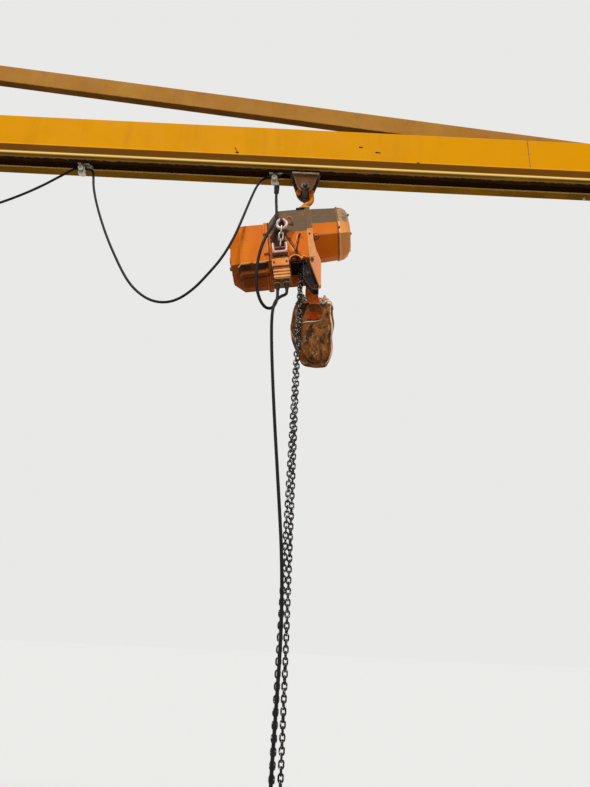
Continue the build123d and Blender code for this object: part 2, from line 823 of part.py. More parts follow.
def hoist_casting():
    """Centre casting: roofed body, face plate, lug, chain pocket and end flange."""
    casting = extrude(section_face(casting_outline(CASTING_INSET), GEAR_SEAM), amount=FLANGE_LEFT - GEAR_SEAM)
    casting -= flat(ROOF_CUT, side_plane(), 2 * BODY_FRONT)
    casting += extrude(section_face(body_outline(-COVER_BEAD), GEAR_SEAM), amount=FACE_PLATE)
    flange = section_face(casting_outline(-FLANGE_PROUD), FLANGE_LEFT)
    casting += extrude(flange, amount=FLANGE_RIGHT - FLANGE_LEFT)
    casting += flat(LUG_OUTLINE, side_plane(), LUG_WIDTH)
    casting -= block(
        POCKET_LEFT, POCKET_RIGHT, -BODY_FRONT - 10.0, -4.0, BODY_BOTTOM - 60.0, BODY_KNEE + 2.0
    )
    for line in GROOVES:
        casting -= front_groove(line)
    return casting


def motor_outline(scale=1.0):
    """Faceted motor section, scaled about its own axis, in (y, z)."""
    return [(y * scale, MOTOR_AXIS_Z + z * scale) for y, z in mirrored(MOTOR_HALF)]


def motor_housing():
    rim_x = MOTOR_END - MOTOR_RIM
    far = section_face(motor_outline(MOTOR_TAPER), rim_x)
    barrel = loft([section_face(motor_outline(), FLANGE_RIGHT), far])
    return barrel + extrude(section_face(motor_outline(), rim_x), amount=MOTOR_RIM)


def cap_section(share):
    """Section of the end cap at a share of its length."""
    scale = CAP_CORE + CAP_SWELL * math.sqrt(1 - CAP_CLOSE * share * share)
    return section_face(motor_outline(scale), MOTOR_END + share * (MOTOR_CAP_END - MOTOR_END))


def motor_end_cap():
    """Cap that rounds off towards its end."""
    cap = None
    for start, end in zip(CAP_STEPS, CAP_STEPS[1:]):
        piece = loft([cap_section(start), cap_section(end)])
        cap = piece if cap is None else cap + piece
    return cap


def suspension_hook():
    """Top hook, open to the left, with its foot on the casting's lug."""
    low_x = HOOK_SIDE_X - HOOK_LOW_RADIUS
    low_z = HOOK_FOOT_Z + HOOK_LOW_RADIUS
    high_x = HOOK_SIDE_X - HOOK_TOP_RADIUS
    high_z = PIN_DIA / 2 + HOOK_PIN_GAP + HOOK_BAR / 2 - HOOK_TOP_RADIUS
    low = CenterArc((low_x, low_z), HOOK_LOW_RADIUS, -90, 90)
    side = Line((HOOK_SIDE_X, low_z), (HOOK_SIDE_X, high_z))
    high = CenterArc((high_x, high_z), HOOK_TOP_RADIUS, 0, HOOK_TOP_TURN)
    path = side_plane() * Wire([*low.edges(), *side.edges(), *high.edges()])
    start = path @ 0
    hook = sweep(Plane(origin=start, z_dir=path % 0) * Circle(HOOK_BAR / 2), path=path)
    hook += Pos(path @ 1) * Sphere(HOOK_BAR / 2)
    hook += Pos(start) * Sphere(HOOK_BAR / 2)
    return hook + rod((low_x, 0, HOOK_FOOT_Z), (low_x, 0, LUG_TOP), HOOK_SHANK)


def ring_eye():
    """Centre of the eye pin on the casting's front, in the arm's frame."""
    return Vector(*hung_point(EYE_X, -BODY_FRONT - EYE_OUT, EYE_Z))


def ring_drop():
    """How far the ring's centre hangs below its eye pin."""
    return RING_RADIUS - RING_BAR / 2 - EYE_PIN / 2


def safety_ring():
    """Ring hung on an eye pin in front of the casting."""
    head = -BODY_FRONT - EYE_OUT - EYE_HOLD
    pin = rod((EYE_X, -ROOF_HALF, EYE_Z), (EYE_X, head, EYE_Z), EYE_PIN) - hoist_casting()
    pin += rod((EYE_X, head, EYE_Z), (EYE_X, head - EYE_HEAD, EYE_Z), EYE_HEAD_DIA)
    pin = hung(pin)
    eye = ring_eye()
    return pin + Pos(eye.X, eye.Y, eye.Z - ring_drop()) * Rot(90, 0, 0) * Torus(RING_RADIUS, RING_BAR / 2)


def strain_chain():
    """Short chain from the ring down to the bow, every second link turned."""
    eye = ring_eye()
    length = LINK_PITCH + 2 * LINK_BAR
    first = ring_drop() + RING_RADIUS - RING_BAR / 2 - LINK_SLACK + LINK_PITCH / 2
    links = []
    for i in range(LINK_COUNT):
        face = SlotOverall(length, LINK_WIDTH) - SlotOverall(LINK_PITCH, LINK_WIDTH - 2 * LINK_BAR)
        solid = extrude(Plane.XZ * Rot(0, 0, 90) * face, amount=LINK_BAR / 2, both=True)
        if i % 2 == 0:
            solid = Rot(0, 0, 90) * solid
        links.append(Pos(eye.X, eye.Y, eye.Z - first - i * (LINK_PITCH - LINK_SLACK)) * solid)
    return Compound(links)


def cable_bow():
    """U-shaped bow with a cross pin that holds the lower end of the strain chain."""
    y0 = -BODY_FRONT - BOW_OUT
    y1 = -BODY_FRONT + SEATED
    x0, x1 = BOW_X - BOW_HALF, BOW_X + BOW_HALF
    low = BOW_PIN_Z - BOW_DEPTH
    high = BOW_PIN_Z + BOW_ABOVE
    plate = block(x0, x1, y0, y1, low, high)
    plate = fillet(plate.edges().filter_by(Axis.Y), BOW_ROUND)
    plate -= block(x0 + BOW_BAR, x1 - BOW_BAR, y0 - 1, y1 + 1, low + BOW_BAR, high + 1)
    pin_y = -BODY_FRONT - BOW_PIN_OUT
    return plate + rod((x0 + 2.0, pin_y, BOW_PIN_Z), (x1 - 2.0, pin_y, BOW_PIN_Z), LINK_BAR)


def cable_glands():
    """Stepped boss with a ribbed boot and the two glands under the front of the casting."""
    body = block(BOSS_LEFT, BOSS_RIGHT, BOSS_FRONT, BOSS_BACK, BOSS_BOTTOM, BOSS_TOP)
    body = fillet(body.edges().filter_by(Axis.X).sort_by(Axis.Y)[:2], 6)
    body += block(BOOT_LEFT, BOOT_RIGHT, BOOT_FRONT, BOOT_BACK, BOOT_BOTTOM, BOOT_TOP)
    over = BOOT_RIB / 2
    for i in range(BOOT_RIBS):
        z = BOOT_FIRST_RIB - i * BOOT_PITCH
        body += block(BOOT_LEFT - over, BOOT_RIGHT + over, BOOT_FRONT - over, BOOT_BACK, z - over, z + over)
    for x in (PENDANT_GLAND_X, POWER_GLAND_X):
        body += rod((x, GLAND_Y, BOOT_BOTTOM + 4.0), (x, GLAND_Y, GLAND_FOOT), GLAND_DIA)
    return body - hoist_casting()


def chain_guide():
    """Dark guide beside the chain's mouth, leaning towards the bag."""
    return flat(GUIDE_OUTLINE, side_plane(GUIDE_Y), GUIDE_WIDTH) - hoist_casting()


def flange_ear():
    """Plate at the flange's lower front corner, outside the chain guide."""
    return flat(EAR_OUTLINE, side_plane(EAR_Y), EAR_WIDTH) - hoist_casting()


def bag_bracket():
    """Strap from the casting's underside to the bar that the bag hangs from."""
    x = TROLLEY_X + BAG_X
    front = BAG_Y + BAR_FRONT
    strap = block(
        x + STRAP_LEFT, x + STRAP_RIGHT, front, front + STRAP_THICK, BAG_TOP + STRAP_THICK - 1.0,
        BAG_TOP + STRAP_HEIGHT,
    )
    bar = block(x + BAR_LEFT, x + BAR_RIGHT, front, BAG_Y + BAR_BACK, BAG_TOP, BAG_TOP + STRAP_THICK)
    return strap + bar - hung(hoist_casting()) - hung(flange_ear()) - hung(chain_guide())


def chain_bag():
    """Slack chain bag, a soft tapered sack with a rounded foot."""
    sections = []
    for share, width, depth, shift in BAG_SECTIONS:
        place = Pos(TROLLEY_X + BAG_X + shift, BAG_Y, BAG_TOP - share * BAG_HEIGHT)
        sections.append(place * RectangleRounded(width, depth, depth * BAG_CORNER))
    bag = None
    for upper, lower in zip(sections, sections[1:]):
        piece = loft([upper, lower])
        bag = piece if bag is None else bag + piece
    return bag


def fall_points(front):
    side = -1 if front else 1
    top = (TROLLEY_X, FALL_FRONT_Y if front else FALL_BACK_Y, FALL_TOP)
    mid_y = (FALL_FRONT_Y + FALL_BACK_Y) / 2
    bottom = (TROLLEY_X + side * BLOCK_FALL_X, mid_y + side * BLOCK_FALL_Y, BLOCK_TOP - BLOCK_HOLE_DEPTH)
    return top, bottom


def lifting_chain():
    falls = []
    for front in (True, False):
        top, bottom = fall_points(front)
        falls.append(rod(bottom, top, CHAIN_BAR * CHAIN_SHARE) - hung(hoist_casting()) - hook_block())
    return Compound(falls)


def block_place():
    mid_y = (FALL_FRONT_Y + FALL_BACK_Y) / 2
    turn = math.degrees(math.atan2(BLOCK_FALL_Y, BLOCK_FALL_X))
    return Pos(TROLLEY_X, mid_y, 0) * Rot(0, 0, turn)


def hook_block():
    """Two-fall bottom block: rounded cheeks around the chain wheel."""
    centre = BLOCK_TOP - BLOCK_BODY / 2
    half = BLOCK_DIA / 2
    outline = [
        (-half + BLOCK_SHOULDER, BLOCK_TOP),
        (-half, centre + BLOCK_WAIST),
        (-half, centre - BLOCK_WAIST),
        (-BLOCK_FOOT, centre - BLOCK_BODY / 2),
        (BLOCK_FOOT, centre - BLOCK_BODY / 2),
        (half, centre - BLOCK_WAIST),
        (half, centre + BLOCK_WAIST),
        (half - BLOCK_SHOULDER, BLOCK_TOP),
    ]
    body = flat(outline, side_plane(), BLOCK_THICK)
    body = fillet(body.edges().filter_by(Axis.Y), 8)
    body = chamfer(body.faces().sort_by(Axis.Y)[0].edges(), 6)
    body = chamfer(body.faces().sort_by(Axis.Y)[-1].edges(), 6)
    for side in (-1, 1):
        x = side * math.hypot(BLOCK_FALL_X, BLOCK_FALL_Y)
        body -= rod((x, 0, BLOCK_TOP - BLOCK_HOLE_DEPTH), (x, 0, BLOCK_TOP + 5), BLOCK_HOLE)
    reach = BLOCK_THICK / 2 + BLOCK_AXLE_PROUD
    body += rod((0, -reach, centre), (0, reach, centre), BLOCK_AXLE)
    return block_place() * body


def load_hook():
    """Forged hook with its shank."""
    top = BLOCK_TOP - BLOCK_BODY
    neck = top - HOOK_NECK
    plane = Plane(origin=(0, 0, top - HOOK_REACH), x_dir=(1, 0, 0), z_dir=(0, -1, 0))
    path = plane * CenterArc((0, 0), THROAT + HOOK_STEEL / 2, HOOK_MOUTH, -HOOK_TURN)
    start = path @ 0
    ball = Sphere(HOOK_STEEL / 2)
    hook = sweep(Plane(origin=start, z_dir=path % 0) * Circle(HOOK_STEEL / 2), path=path)
    hook += Pos(path @ 1) * ball + Pos(start) * ball + Pos(0, 0, neck) * ball
    hook += rod(tuple(start), (0, 0, neck), HOOK_STEEL)
    hook += rod((0, 0, neck), (0, 0, top), HOOK_STEEL)
    return Pos(TROLLEY_X, (FALL_FRONT_Y + FALL_BACK_Y) / 2, 0) * hook


def pendant_control():
    x, y, z = PENDANT_TOP
    width, depth, height = PENDANT_SIZE
    top = z - PENDANT_BOOT / 2
    body = Pos(x, y, top - height / 2) * Box(width, depth, height)
    body = fillet(body.edges().filter_by(Axis.Z), 14)
    body = chamfer(body.faces().sort_by(Axis.Z)[0].edges(), 6)
    return body + Pos(x, y, top) * Cone(18.0, 10.0, PENDANT_BOOT)


def pendant_buttons():
    x, y, z = PENDANT_TOP
    face = y - PENDANT_SIZE[1] / 2
    buttons = []
    for i in range(BUTTON_COUNT):
        height = z - BUTTON_FIRST - i * BUTTON_PITCH
        buttons.append(rod((x, face, height), (x, face - BUTTON_PROUD, height), BUTTON_DIA))
    return Compound(buttons)


# Cables. Each route is a list of points, rounded at every point as far as its runs allow.

INNER_FESTOON = [
    (620.0, 0.0, 3747.0),
    (670.0, -2.0, 3720.0),
    (750.0, -5.0, 3655.0),
    (865.0, -8.0, 3573.0),
    (990.0, -12.0, 3501.0),
    (1130.0, -15.0, 3446.0),
    (1275.0, -16.0, 3411.0),
    (1420.0, -16.0, 3402.0),
    (1565.0, -16.0, 3419.0),
    (1705.0, -14.0, 3461.0),
    (1840.0, -11.0, 3519.0),
    (1970.0, -8.0, 3591.0),
    (2080.0, -5.0, 3668.0),
    (2160.0, -2.0, 3738.0),
    (2205.0, 0.0, 3776.0),
    (2228.0, 0.0, 3793.5),
]

OUTER_FESTOON = [
    (2306.0, 0.0, 3793.5),
    (2326.0, -4.0, 3774.0),
    (2336.0, -13.0, 3732.0),
    (2354.0, -28.0, 3650.0),
    (2404.0, -50.0, 3510.0),
    (2484.0, -80.0, 3330.0),
    (2564.0, -100.0, 3180.0),
    (2630.0, -118.0, 3070.0),
    (2694.0, -132.0, 3000.0),
    (2762.0, -144.0, 2956.0),
    (2830.0, -155.0, 2945.0),
    (2890.0, -164.0, 2964.0),
    (2952.0, -172.0, 3018.0),
    (3002.0, -180.0, 3084.0),
    (3056.0, -184.0, 3165.0),
    (3104.0, -178.0, 3285.0),
    (3136.0, -146.0, 3440.0),
    (3160.0, -96.0, 3590.0),
    (3174.0, -52.0, 3686.0),
    (3184.0, -22.0, 3736.0),
    (3196.0, -6.0, 3772.0),
    (3217.0, 0.0, 3793.5),
]

POWER_DROP = [
    (3275.0, 0.0, 3705.0),
    (3277.0, -18.0, 3645.0),
    (3284.0, -62.0, 3560.0),
    (3290.0, -116.0, 3470.0),
    (3282.0, -164.0, 3385.0),
    (3258.0, -192.0, 3312.0),
    (3236.0, -201.0, 3238.0),
    (3224.0, -202.0, 3160.0),
    (3221.0, -200.0, 3082.0),
    (3229.0, -192.0, 3012.0),
    (3249.0, -178.0, 2958.0),
    (3278.0, -156.0, 2938.0),
    (3306.0, -132.0, 2962.0),
    (3319.0, -114.0, 3012.0),
]

PENDANT_RUN = [
    (3360.0, -124.0, 3036.0),
    (3336.0, -158.0, 3006.0),
    (3310.0, -184.0, 2962.0),
    (3302.0, -188.0, 2890.0),
    (3308.0, -180.0, 2770.0),
    (3322.0, -170.0, 2610.0),
    (3340.0, -163.0, 2430.0),
    (3360.0, -158.0, 2250.0),
    (3380.0, -155.0, 2070.0),
    (3398.0, -153.0, 1900.0),
    (3409.0, -152.0, 1730.0),
    (3412.0, -153.0, 1550.0),
    (3408.0, -158.0, 1370.0),
    (3404.0, -163.0, 1210.0),
    (3403.0, -165.0, 1110.0),
]


def cable_route(start, points, end):
    route = [Vector(*p) for p in [start] + points + [end]]
    radii = []
    for before, corner, after in zip(route, route[1:], route[2:]):
        run_in = corner - before
        run_out = after - corner
        turn = math.radians(run_in.get_angle(run_out))
        radii.append(0.45 * min(run_in.length, run_out.length) / math.tan(turn / 2))
    return route, radii


def cable(name, start, points, end, dia):
    """Round cable along a route, its ends square to the first and last run."""
    route, radii = cable_route(start, points, end)
    path = FilletPolyline(*route, radius=radii)
    plane = Plane(origin=route[0], z_dir=route[1] - route[0])
    tube = sweep(plane * Circle(dia / 2), path=path)
    share = tube.volume / (math.pi * dia * dia / 4 * path.length)
    print(f"{name}: length {path.length:.0f}, least radius {min(radii):.0f}, volume ratio {share:.4f}")
    return tube


def inner_festoon_cable():
    start = tuple(anchor_gland())
    return cable("inner_festoon_cable", start, INNER_FESTOON, clamp_end(CARRIER_1_X, -1), FESTOON_DIA)


def outer_festoon_cable():
    start = clamp_end(CARRIER_1_X, 1)
    return cable("outer_festoon_cable", start, OUTER_FESTOON, clamp_end(TOW_CARRIER_X, -1), FESTOON_DIA)


def power_cable():
    mouth, lead = gland_points(POWER_GLAND_X)
    return cable("power_cable", outlet_mouth(), POWER_DROP + [lead], mouth, POWER_DIA)


def pendant_cable():
    mouth, lead = gland_points(PENDANT_GLAND_X)
    return cable("pendant_cable", mouth, [lead] + PENDANT_RUN, PENDANT_TOP, PENDANT_DIA)


PARTS = {
    "base_plate": base_plate,
    "base_gussets": base_gussets,
    "pillar_column": pillar_column,
    "pillar_cap": pillar_cap,
    "lower_bearing_bracket": lambda: bearing_bracket(LOWER_SEAT, -1),
    "upper_bearing_bracket": lambda: bearing_bracket(UPPER_SEAT, 1),
    "pivot_bushes": pivot_bushes,
    "slewing_post": slewing_post,
    "pivot_pins": pivot_pins,
    "rail_root_plate": rail_root_plate,
    "jib_rail": jib_rail,
    "rail_end_cap": rail_end_cap,
    "rail_stops": rail_stops,
    "overhead_tie": overhead_tie,
    "cable_anchor_box": cable_anchor_box,
    "trolley_wheels": trolley_wheels,
    "trolley_block": trolley_block,
    "trolley_yoke": trolley_yoke,
    "yoke_pin": yoke_pin,
    "tow_carrier": lambda: carrier_frame(TOW_CARRIER_X, True),
    "tow_saddle": tow_saddle,
    "cable_carrier": lambda: carrier_frame(CARRIER_1_X),
    "carrier_saddle": lambda: carrier_saddle(CARRIER_1_X),
    "carrier_wheels": carrier_wheels,
    "suspension_hook": lambda: hung(suspension_hook()),
    "hoist_casting": lambda: hung(hoist_casting()),
    "flange_ear": lambda: hung(flange_ear()),
    "gear_cover": lambda: hung(gear_cover()),
    "motor_housing": lambda: hung(motor_housing()),
    "motor_end_cap": lambda: hung(motor_end_cap()),
    "safety_ring": safety_ring,
    "strain_chain": strain_chain,
    "cable_bow": lambda: hung(cable_bow()),
    "cable_glands": lambda: hung(cable_glands()),
    "chain_guide": lambda: hung(chain_guide()),
    "bag_bracket": bag_bracket,
    "chain_bag": chain_bag,
    "lifting_chain": lifting_chain,
    "hook_block": hook_block,
    "load_hook": load_hook,
    "pendant_control": pendant_control,
    "pendant_buttons": pendant_buttons,
    "inner_festoon_cable": inner_festoon_cable,
    "outer_festoon_cable": outer_festoon_cable,
    "power_cable": power_cable,
    "pendant_cable": pendant_cable,
}


def main():
    os.makedirs("parts", exist_ok=True)
    for node, make in PARTS.items():
        export_step(make(), f"parts/{node}.step")


main()
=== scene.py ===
import json
import math
import random

import bmesh
import bpy
from mathutils import Matrix, Vector


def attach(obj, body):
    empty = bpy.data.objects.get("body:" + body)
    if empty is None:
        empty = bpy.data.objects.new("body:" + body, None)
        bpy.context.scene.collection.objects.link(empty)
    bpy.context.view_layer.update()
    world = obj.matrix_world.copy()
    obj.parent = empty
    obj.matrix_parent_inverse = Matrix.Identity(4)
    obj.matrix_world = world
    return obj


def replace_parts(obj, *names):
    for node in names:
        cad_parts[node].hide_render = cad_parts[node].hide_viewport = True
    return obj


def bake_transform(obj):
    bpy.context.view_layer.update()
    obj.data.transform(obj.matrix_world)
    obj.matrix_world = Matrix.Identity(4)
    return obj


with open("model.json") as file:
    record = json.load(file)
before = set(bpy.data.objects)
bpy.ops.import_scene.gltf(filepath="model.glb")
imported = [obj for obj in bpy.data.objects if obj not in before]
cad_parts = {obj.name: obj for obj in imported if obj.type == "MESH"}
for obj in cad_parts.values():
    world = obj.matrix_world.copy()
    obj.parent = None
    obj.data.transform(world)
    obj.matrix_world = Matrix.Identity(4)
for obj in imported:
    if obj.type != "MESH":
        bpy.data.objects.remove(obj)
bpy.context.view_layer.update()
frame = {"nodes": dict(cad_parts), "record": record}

# Camera: where the photographer stands on the floor, looking up at the hoist
CAMERA_PLACE = (3.420, -2.550, 1.600)
CAMERA_PITCH = 21.5
CAMERA_ROLL = 2.8
FOCAL_PIXELS = 614.0
IMAGE_HEIGHT = 787
SENSOR = 36.0

RIGHT, LEFT = (1, 0, 0), (-1, 0, 0)
BACK, FRONT = (0, 1, 0), (0, -1, 0)
UP, DOWN = (0, 0, 1), (0, 0, -1)

# Places that the solids share, in metres
TROLLEY_X = 3.420
PIN_PLACE = (TROLLEY_X, 0.0, 3.712)
HOIST_TILT = 7.0
HOIST_YAW = 4.0
HUNG = (
    Matrix.Translation(PIN_PLACE)
    @ Matrix.Rotation(math.radians(-HOIST_TILT), 4, "Y")
    @ Matrix.Rotation(math.radians(-HOIST_YAW), 4, "Z")
)
HUNG_UP = tuple(HUNG.to_3x3() @ Vector(UP))
HUNG_RIGHT = tuple(HUNG.to_3x3() @ Vector(RIGHT))

# Cables: routes in metres, the same points as the solids have
INNER_FESTOON = (
    (0.574, 0.000, 3.747), (0.620, 0.000, 3.747), (0.670, -0.002, 3.720), (0.750, -0.005, 3.655),
    (0.865, -0.008, 3.573), (0.990, -0.012, 3.501), (1.130, -0.015, 3.446), (1.275, -0.016, 3.411),
    (1.420, -0.016, 3.402), (1.565, -0.016, 3.419), (1.705, -0.014, 3.461), (1.840, -0.011, 3.519),
    (1.970, -0.008, 3.591), (2.080, -0.005, 3.668), (2.160, -0.002, 3.738), (2.205, 0.000, 3.776),
    (2.228, 0.000, 3.7935), (2.250, 0.000, 3.7935),
)
OUTER_FESTOON = (
    (2.280, 0.000, 3.7935), (2.306, 0.000, 3.7935), (2.326, -0.004, 3.774), (2.336, -0.013, 3.732),
    (2.354, -0.028, 3.650), (2.404, -0.050, 3.510), (2.484, -0.080, 3.330), (2.564, -0.100, 3.180),
    (2.630, -0.118, 3.070), (2.694, -0.132, 3.000), (2.762, -0.144, 2.956), (2.830, -0.155, 2.945),
    (2.890, -0.164, 2.964), (2.952, -0.172, 3.018), (3.002, -0.180, 3.084), (3.056, -0.184, 3.165),
    (3.104, -0.178, 3.285), (3.136, -0.146, 3.440), (3.160, -0.096, 3.590), (3.174, -0.052, 3.686),
    (3.184, -0.022, 3.736), (3.196, -0.006, 3.772), (3.217, 0.000, 3.7935), (3.245, 0.000, 3.7935),
)
POWER_DROP = (
    (3.275, 0.000, 3.741), (3.275, 0.000, 3.705), (3.277, -0.018, 3.645), (3.284, -0.062, 3.560),
    (3.290, -0.116, 3.470), (3.282, -0.164, 3.385), (3.258, -0.192, 3.312), (3.236, -0.201, 3.238),
    (3.224, -0.202, 3.160), (3.221, -0.200, 3.082), (3.229, -0.192, 3.012), (3.249, -0.178, 2.958),
    (3.278, -0.156, 2.938), (3.306, -0.132, 2.962), (3.319, -0.114, 3.012),
    (3.31806, -0.10571, 3.06677), (3.31441, -0.10571, 3.09654),
)
PENDANT_RUN = (
    (3.35599, -0.10864, 3.10165), (3.35965, -0.10864, 3.07187),
    (3.360, -0.124, 3.036), (3.336, -0.158, 3.006),
    (3.310, -0.184, 2.962), (3.302, -0.188, 2.890), (3.308, -0.180, 2.770), (3.322, -0.170, 2.610),
    (3.340, -0.163, 2.430), (3.360, -0.158, 2.250), (3.380, -0.155, 2.070), (3.398, -0.153, 1.900),
    (3.409, -0.152, 1.730), (3.412, -0.153, 1.550), (3.408, -0.158, 1.370), (3.404, -0.163, 1.210),
    (3.403, -0.165, 1.110), (3.403, -0.165, 1.040),
)


def rgb(r, g, b):
    """Colour as seen on a screen, 0 to 255, as the linear colour that shaders take."""
    def linear(c):
        c = c / 255
        return c / 12.92 if c <= 0.04045 else ((c + 0.055) / 1.055) ** 2.4
    return (linear(r), linear(g), linear(b), 1.0)


def feed(node, inputs):
    """Sets a node's inputs, or links them where the value is a socket."""
    for key, value in inputs.items():
        if isinstance(value, bpy.types.NodeSocket):
            node.id_data.links.new(value, node.inputs[key])
        else:
            node.inputs[key].default_value = value


def add_node(tree, kind, output, inputs=None, **settings):
    """New node with its settings and inputs; gives one of its outputs."""
    made = tree.nodes.new("ShaderNode" + kind)
    for key, value in settings.items():
        setattr(made, key, value)
    feed(made, inputs or {})
    return made.outputs[output]


class Shader:
    """A material with one principled shader, and short calls for the nodes that feed it."""

    def __init__(self, name, base, rough, metal=0.0, gloss=0.5):
        self.name = name
        self.material = bpy.data.materials.new(name)
        self.material.use_nodes = True
        self.bsdf = self.material.node_tree.nodes["Principled BSDF"]
        self.colour = rgb(*base)
        feed(self.bsdf, {"Roughness": rough, "Metallic": metal, "Specular IOR Level": gloss})
        self.where = self.node("TexCoord", "Object")

    def node(self, kind, output, inputs=None, **settings):
        return add_node(self.material.node_tree, kind, output, inputs, **settings)

    def noise(self, scale, detail=5.0, rough=0.6, stretch=None, warp=0.0):
        place = self.where
        if stretch:
            place = self.node("Mapping", "Vector", {"Vector": place, "Scale": stretch})
        return self.node("TexNoise", "Fac", {
            "Vector": place, "Scale": scale, "Detail": detail, "Roughness": rough, "Distortion": warp,
        })

    def span(self, value, low, high, to_low=0.0, to_high=1.0):
        """Value from low..high, spread over to_low..to_high."""
        return self.node("MapRange", "Result", {
            "Value": value, "From Min": low, "From Max": high, "To Min": to_low, "To Max": to_high,
        })

    def math(self, operation, a, b, clamp=False):
        return self.node("Math", 0, {0: a, 1: b}, operation=operation, use_clamp=clamp)

    def times(self, a, b):
        return self.math("MULTIPLY", a, b, clamp=True)

    def vector(self, operation, a, b):
        output = "Value" if operation in ("DOT_PRODUCT", "DISTANCE") else "Vector"
        return self.node("VectorMath", output, {0: a, 1: b}, operation=operation)

    def mix(self, share, a, b):
        return self.node("Mix", 2, {"Factor": share, 6: a, 7: b}, data_type="RGBA")

    def lay(self, share, paint):
        """One more coat over the colour so far: a screen colour, or a socket."""
        coat = paint if isinstance(paint, bpy.types.NodeSocket) else rgb(*paint)
        self.colour = self.mix(share, self.colour, coat)

    def between(self, value, low, high, soft):
        """Share that is 1 from low to high, and fades over a soft width outside them."""
        return self.times(self.span(value, low - soft, low), self.span(value, high + soft, high))

    def facing(self, low, high):
        """Share that grows as a face turns from normal height low to high; up is 1 and down is -1."""
        normal = self.node("NewGeometry", "Normal")
        return self.span(self.node("SeparateXYZ", "Z", {0: normal}), low, high)

    def edges(self, radius):
        """Share of an edge, from how far a rounded normal leaves the true one; used for edge wear and painted
        edge highlights.
        """
        rounded = self.node("Bevel", "Normal", {"Radius": radius}, samples=6)
        true = self.node("NewGeometry", "Normal")
        return self.span(self.vector("DOT_PRODUCT", rounded, true), 0.99, 0.90)

    def along(self, direction, origin):
        """Distance along a direction from a place in the frame."""
        return self.vector("DOT_PRODUCT", self.vector("SUBTRACT", self.where, origin), direction)

    def ragged(self, far, radius, grain, uneven, inner):
        """Share that rises to 1 as a distance falls from a radius to its inner part, with a ragged edge."""
        reach = radius * uneven
        edge = self.span(self.noise(grain / radius, 5.0, 0.7), 0.3, 0.7, -reach, reach)
        return self.span(self.math("ADD", far, edge), radius, radius * inner)

    def near(self, place, radius, uneven, stretch):
        """Patch of a radius about a place."""
        shifted = self.vector("MULTIPLY", self.vector("SUBTRACT", self.where, place), stretch)
        return self.ragged(self.vector("DISTANCE", shifted, (0, 0, 0)), radius, 0.55, uneven, 0.86)

    def stroke(self, start, end, radius):
        """Mark along a straight line, used for stains, painted shade and painted highlights."""
        way = Vector(end) - Vector(start)
        length = way.length
        way = tuple(way.normalized())
        out = self.vector("SUBTRACT", self.where, start)
        step = self.span(self.vector("DOT_PRODUCT", out, way), 0.0, length, 0.0, length)
        foot = self.node("VectorMath", "Vector", {0: way, "Scale": step}, operation="SCALE")
        return self.ragged(self.vector("DISTANCE", out, foot), radius, 0.5, 0.5, 0.7)

    def keep(self, roughness, height, distance, strength):
        """Last settings: roughness and fine relief. The material is kept under its name."""
        relief = self.node("Bump", "Normal", {"Distance": distance, "Strength": strength, "Height": height})
        feed(self.bsdf, {"Base Color": self.colour, "Roughness": roughness, "Normal": relief})
        MATERIALS[self.name] = self.material


MATERIALS = {}
DUST_AND_TOP_LIGHT_GRAIN = (96, 82, 64)


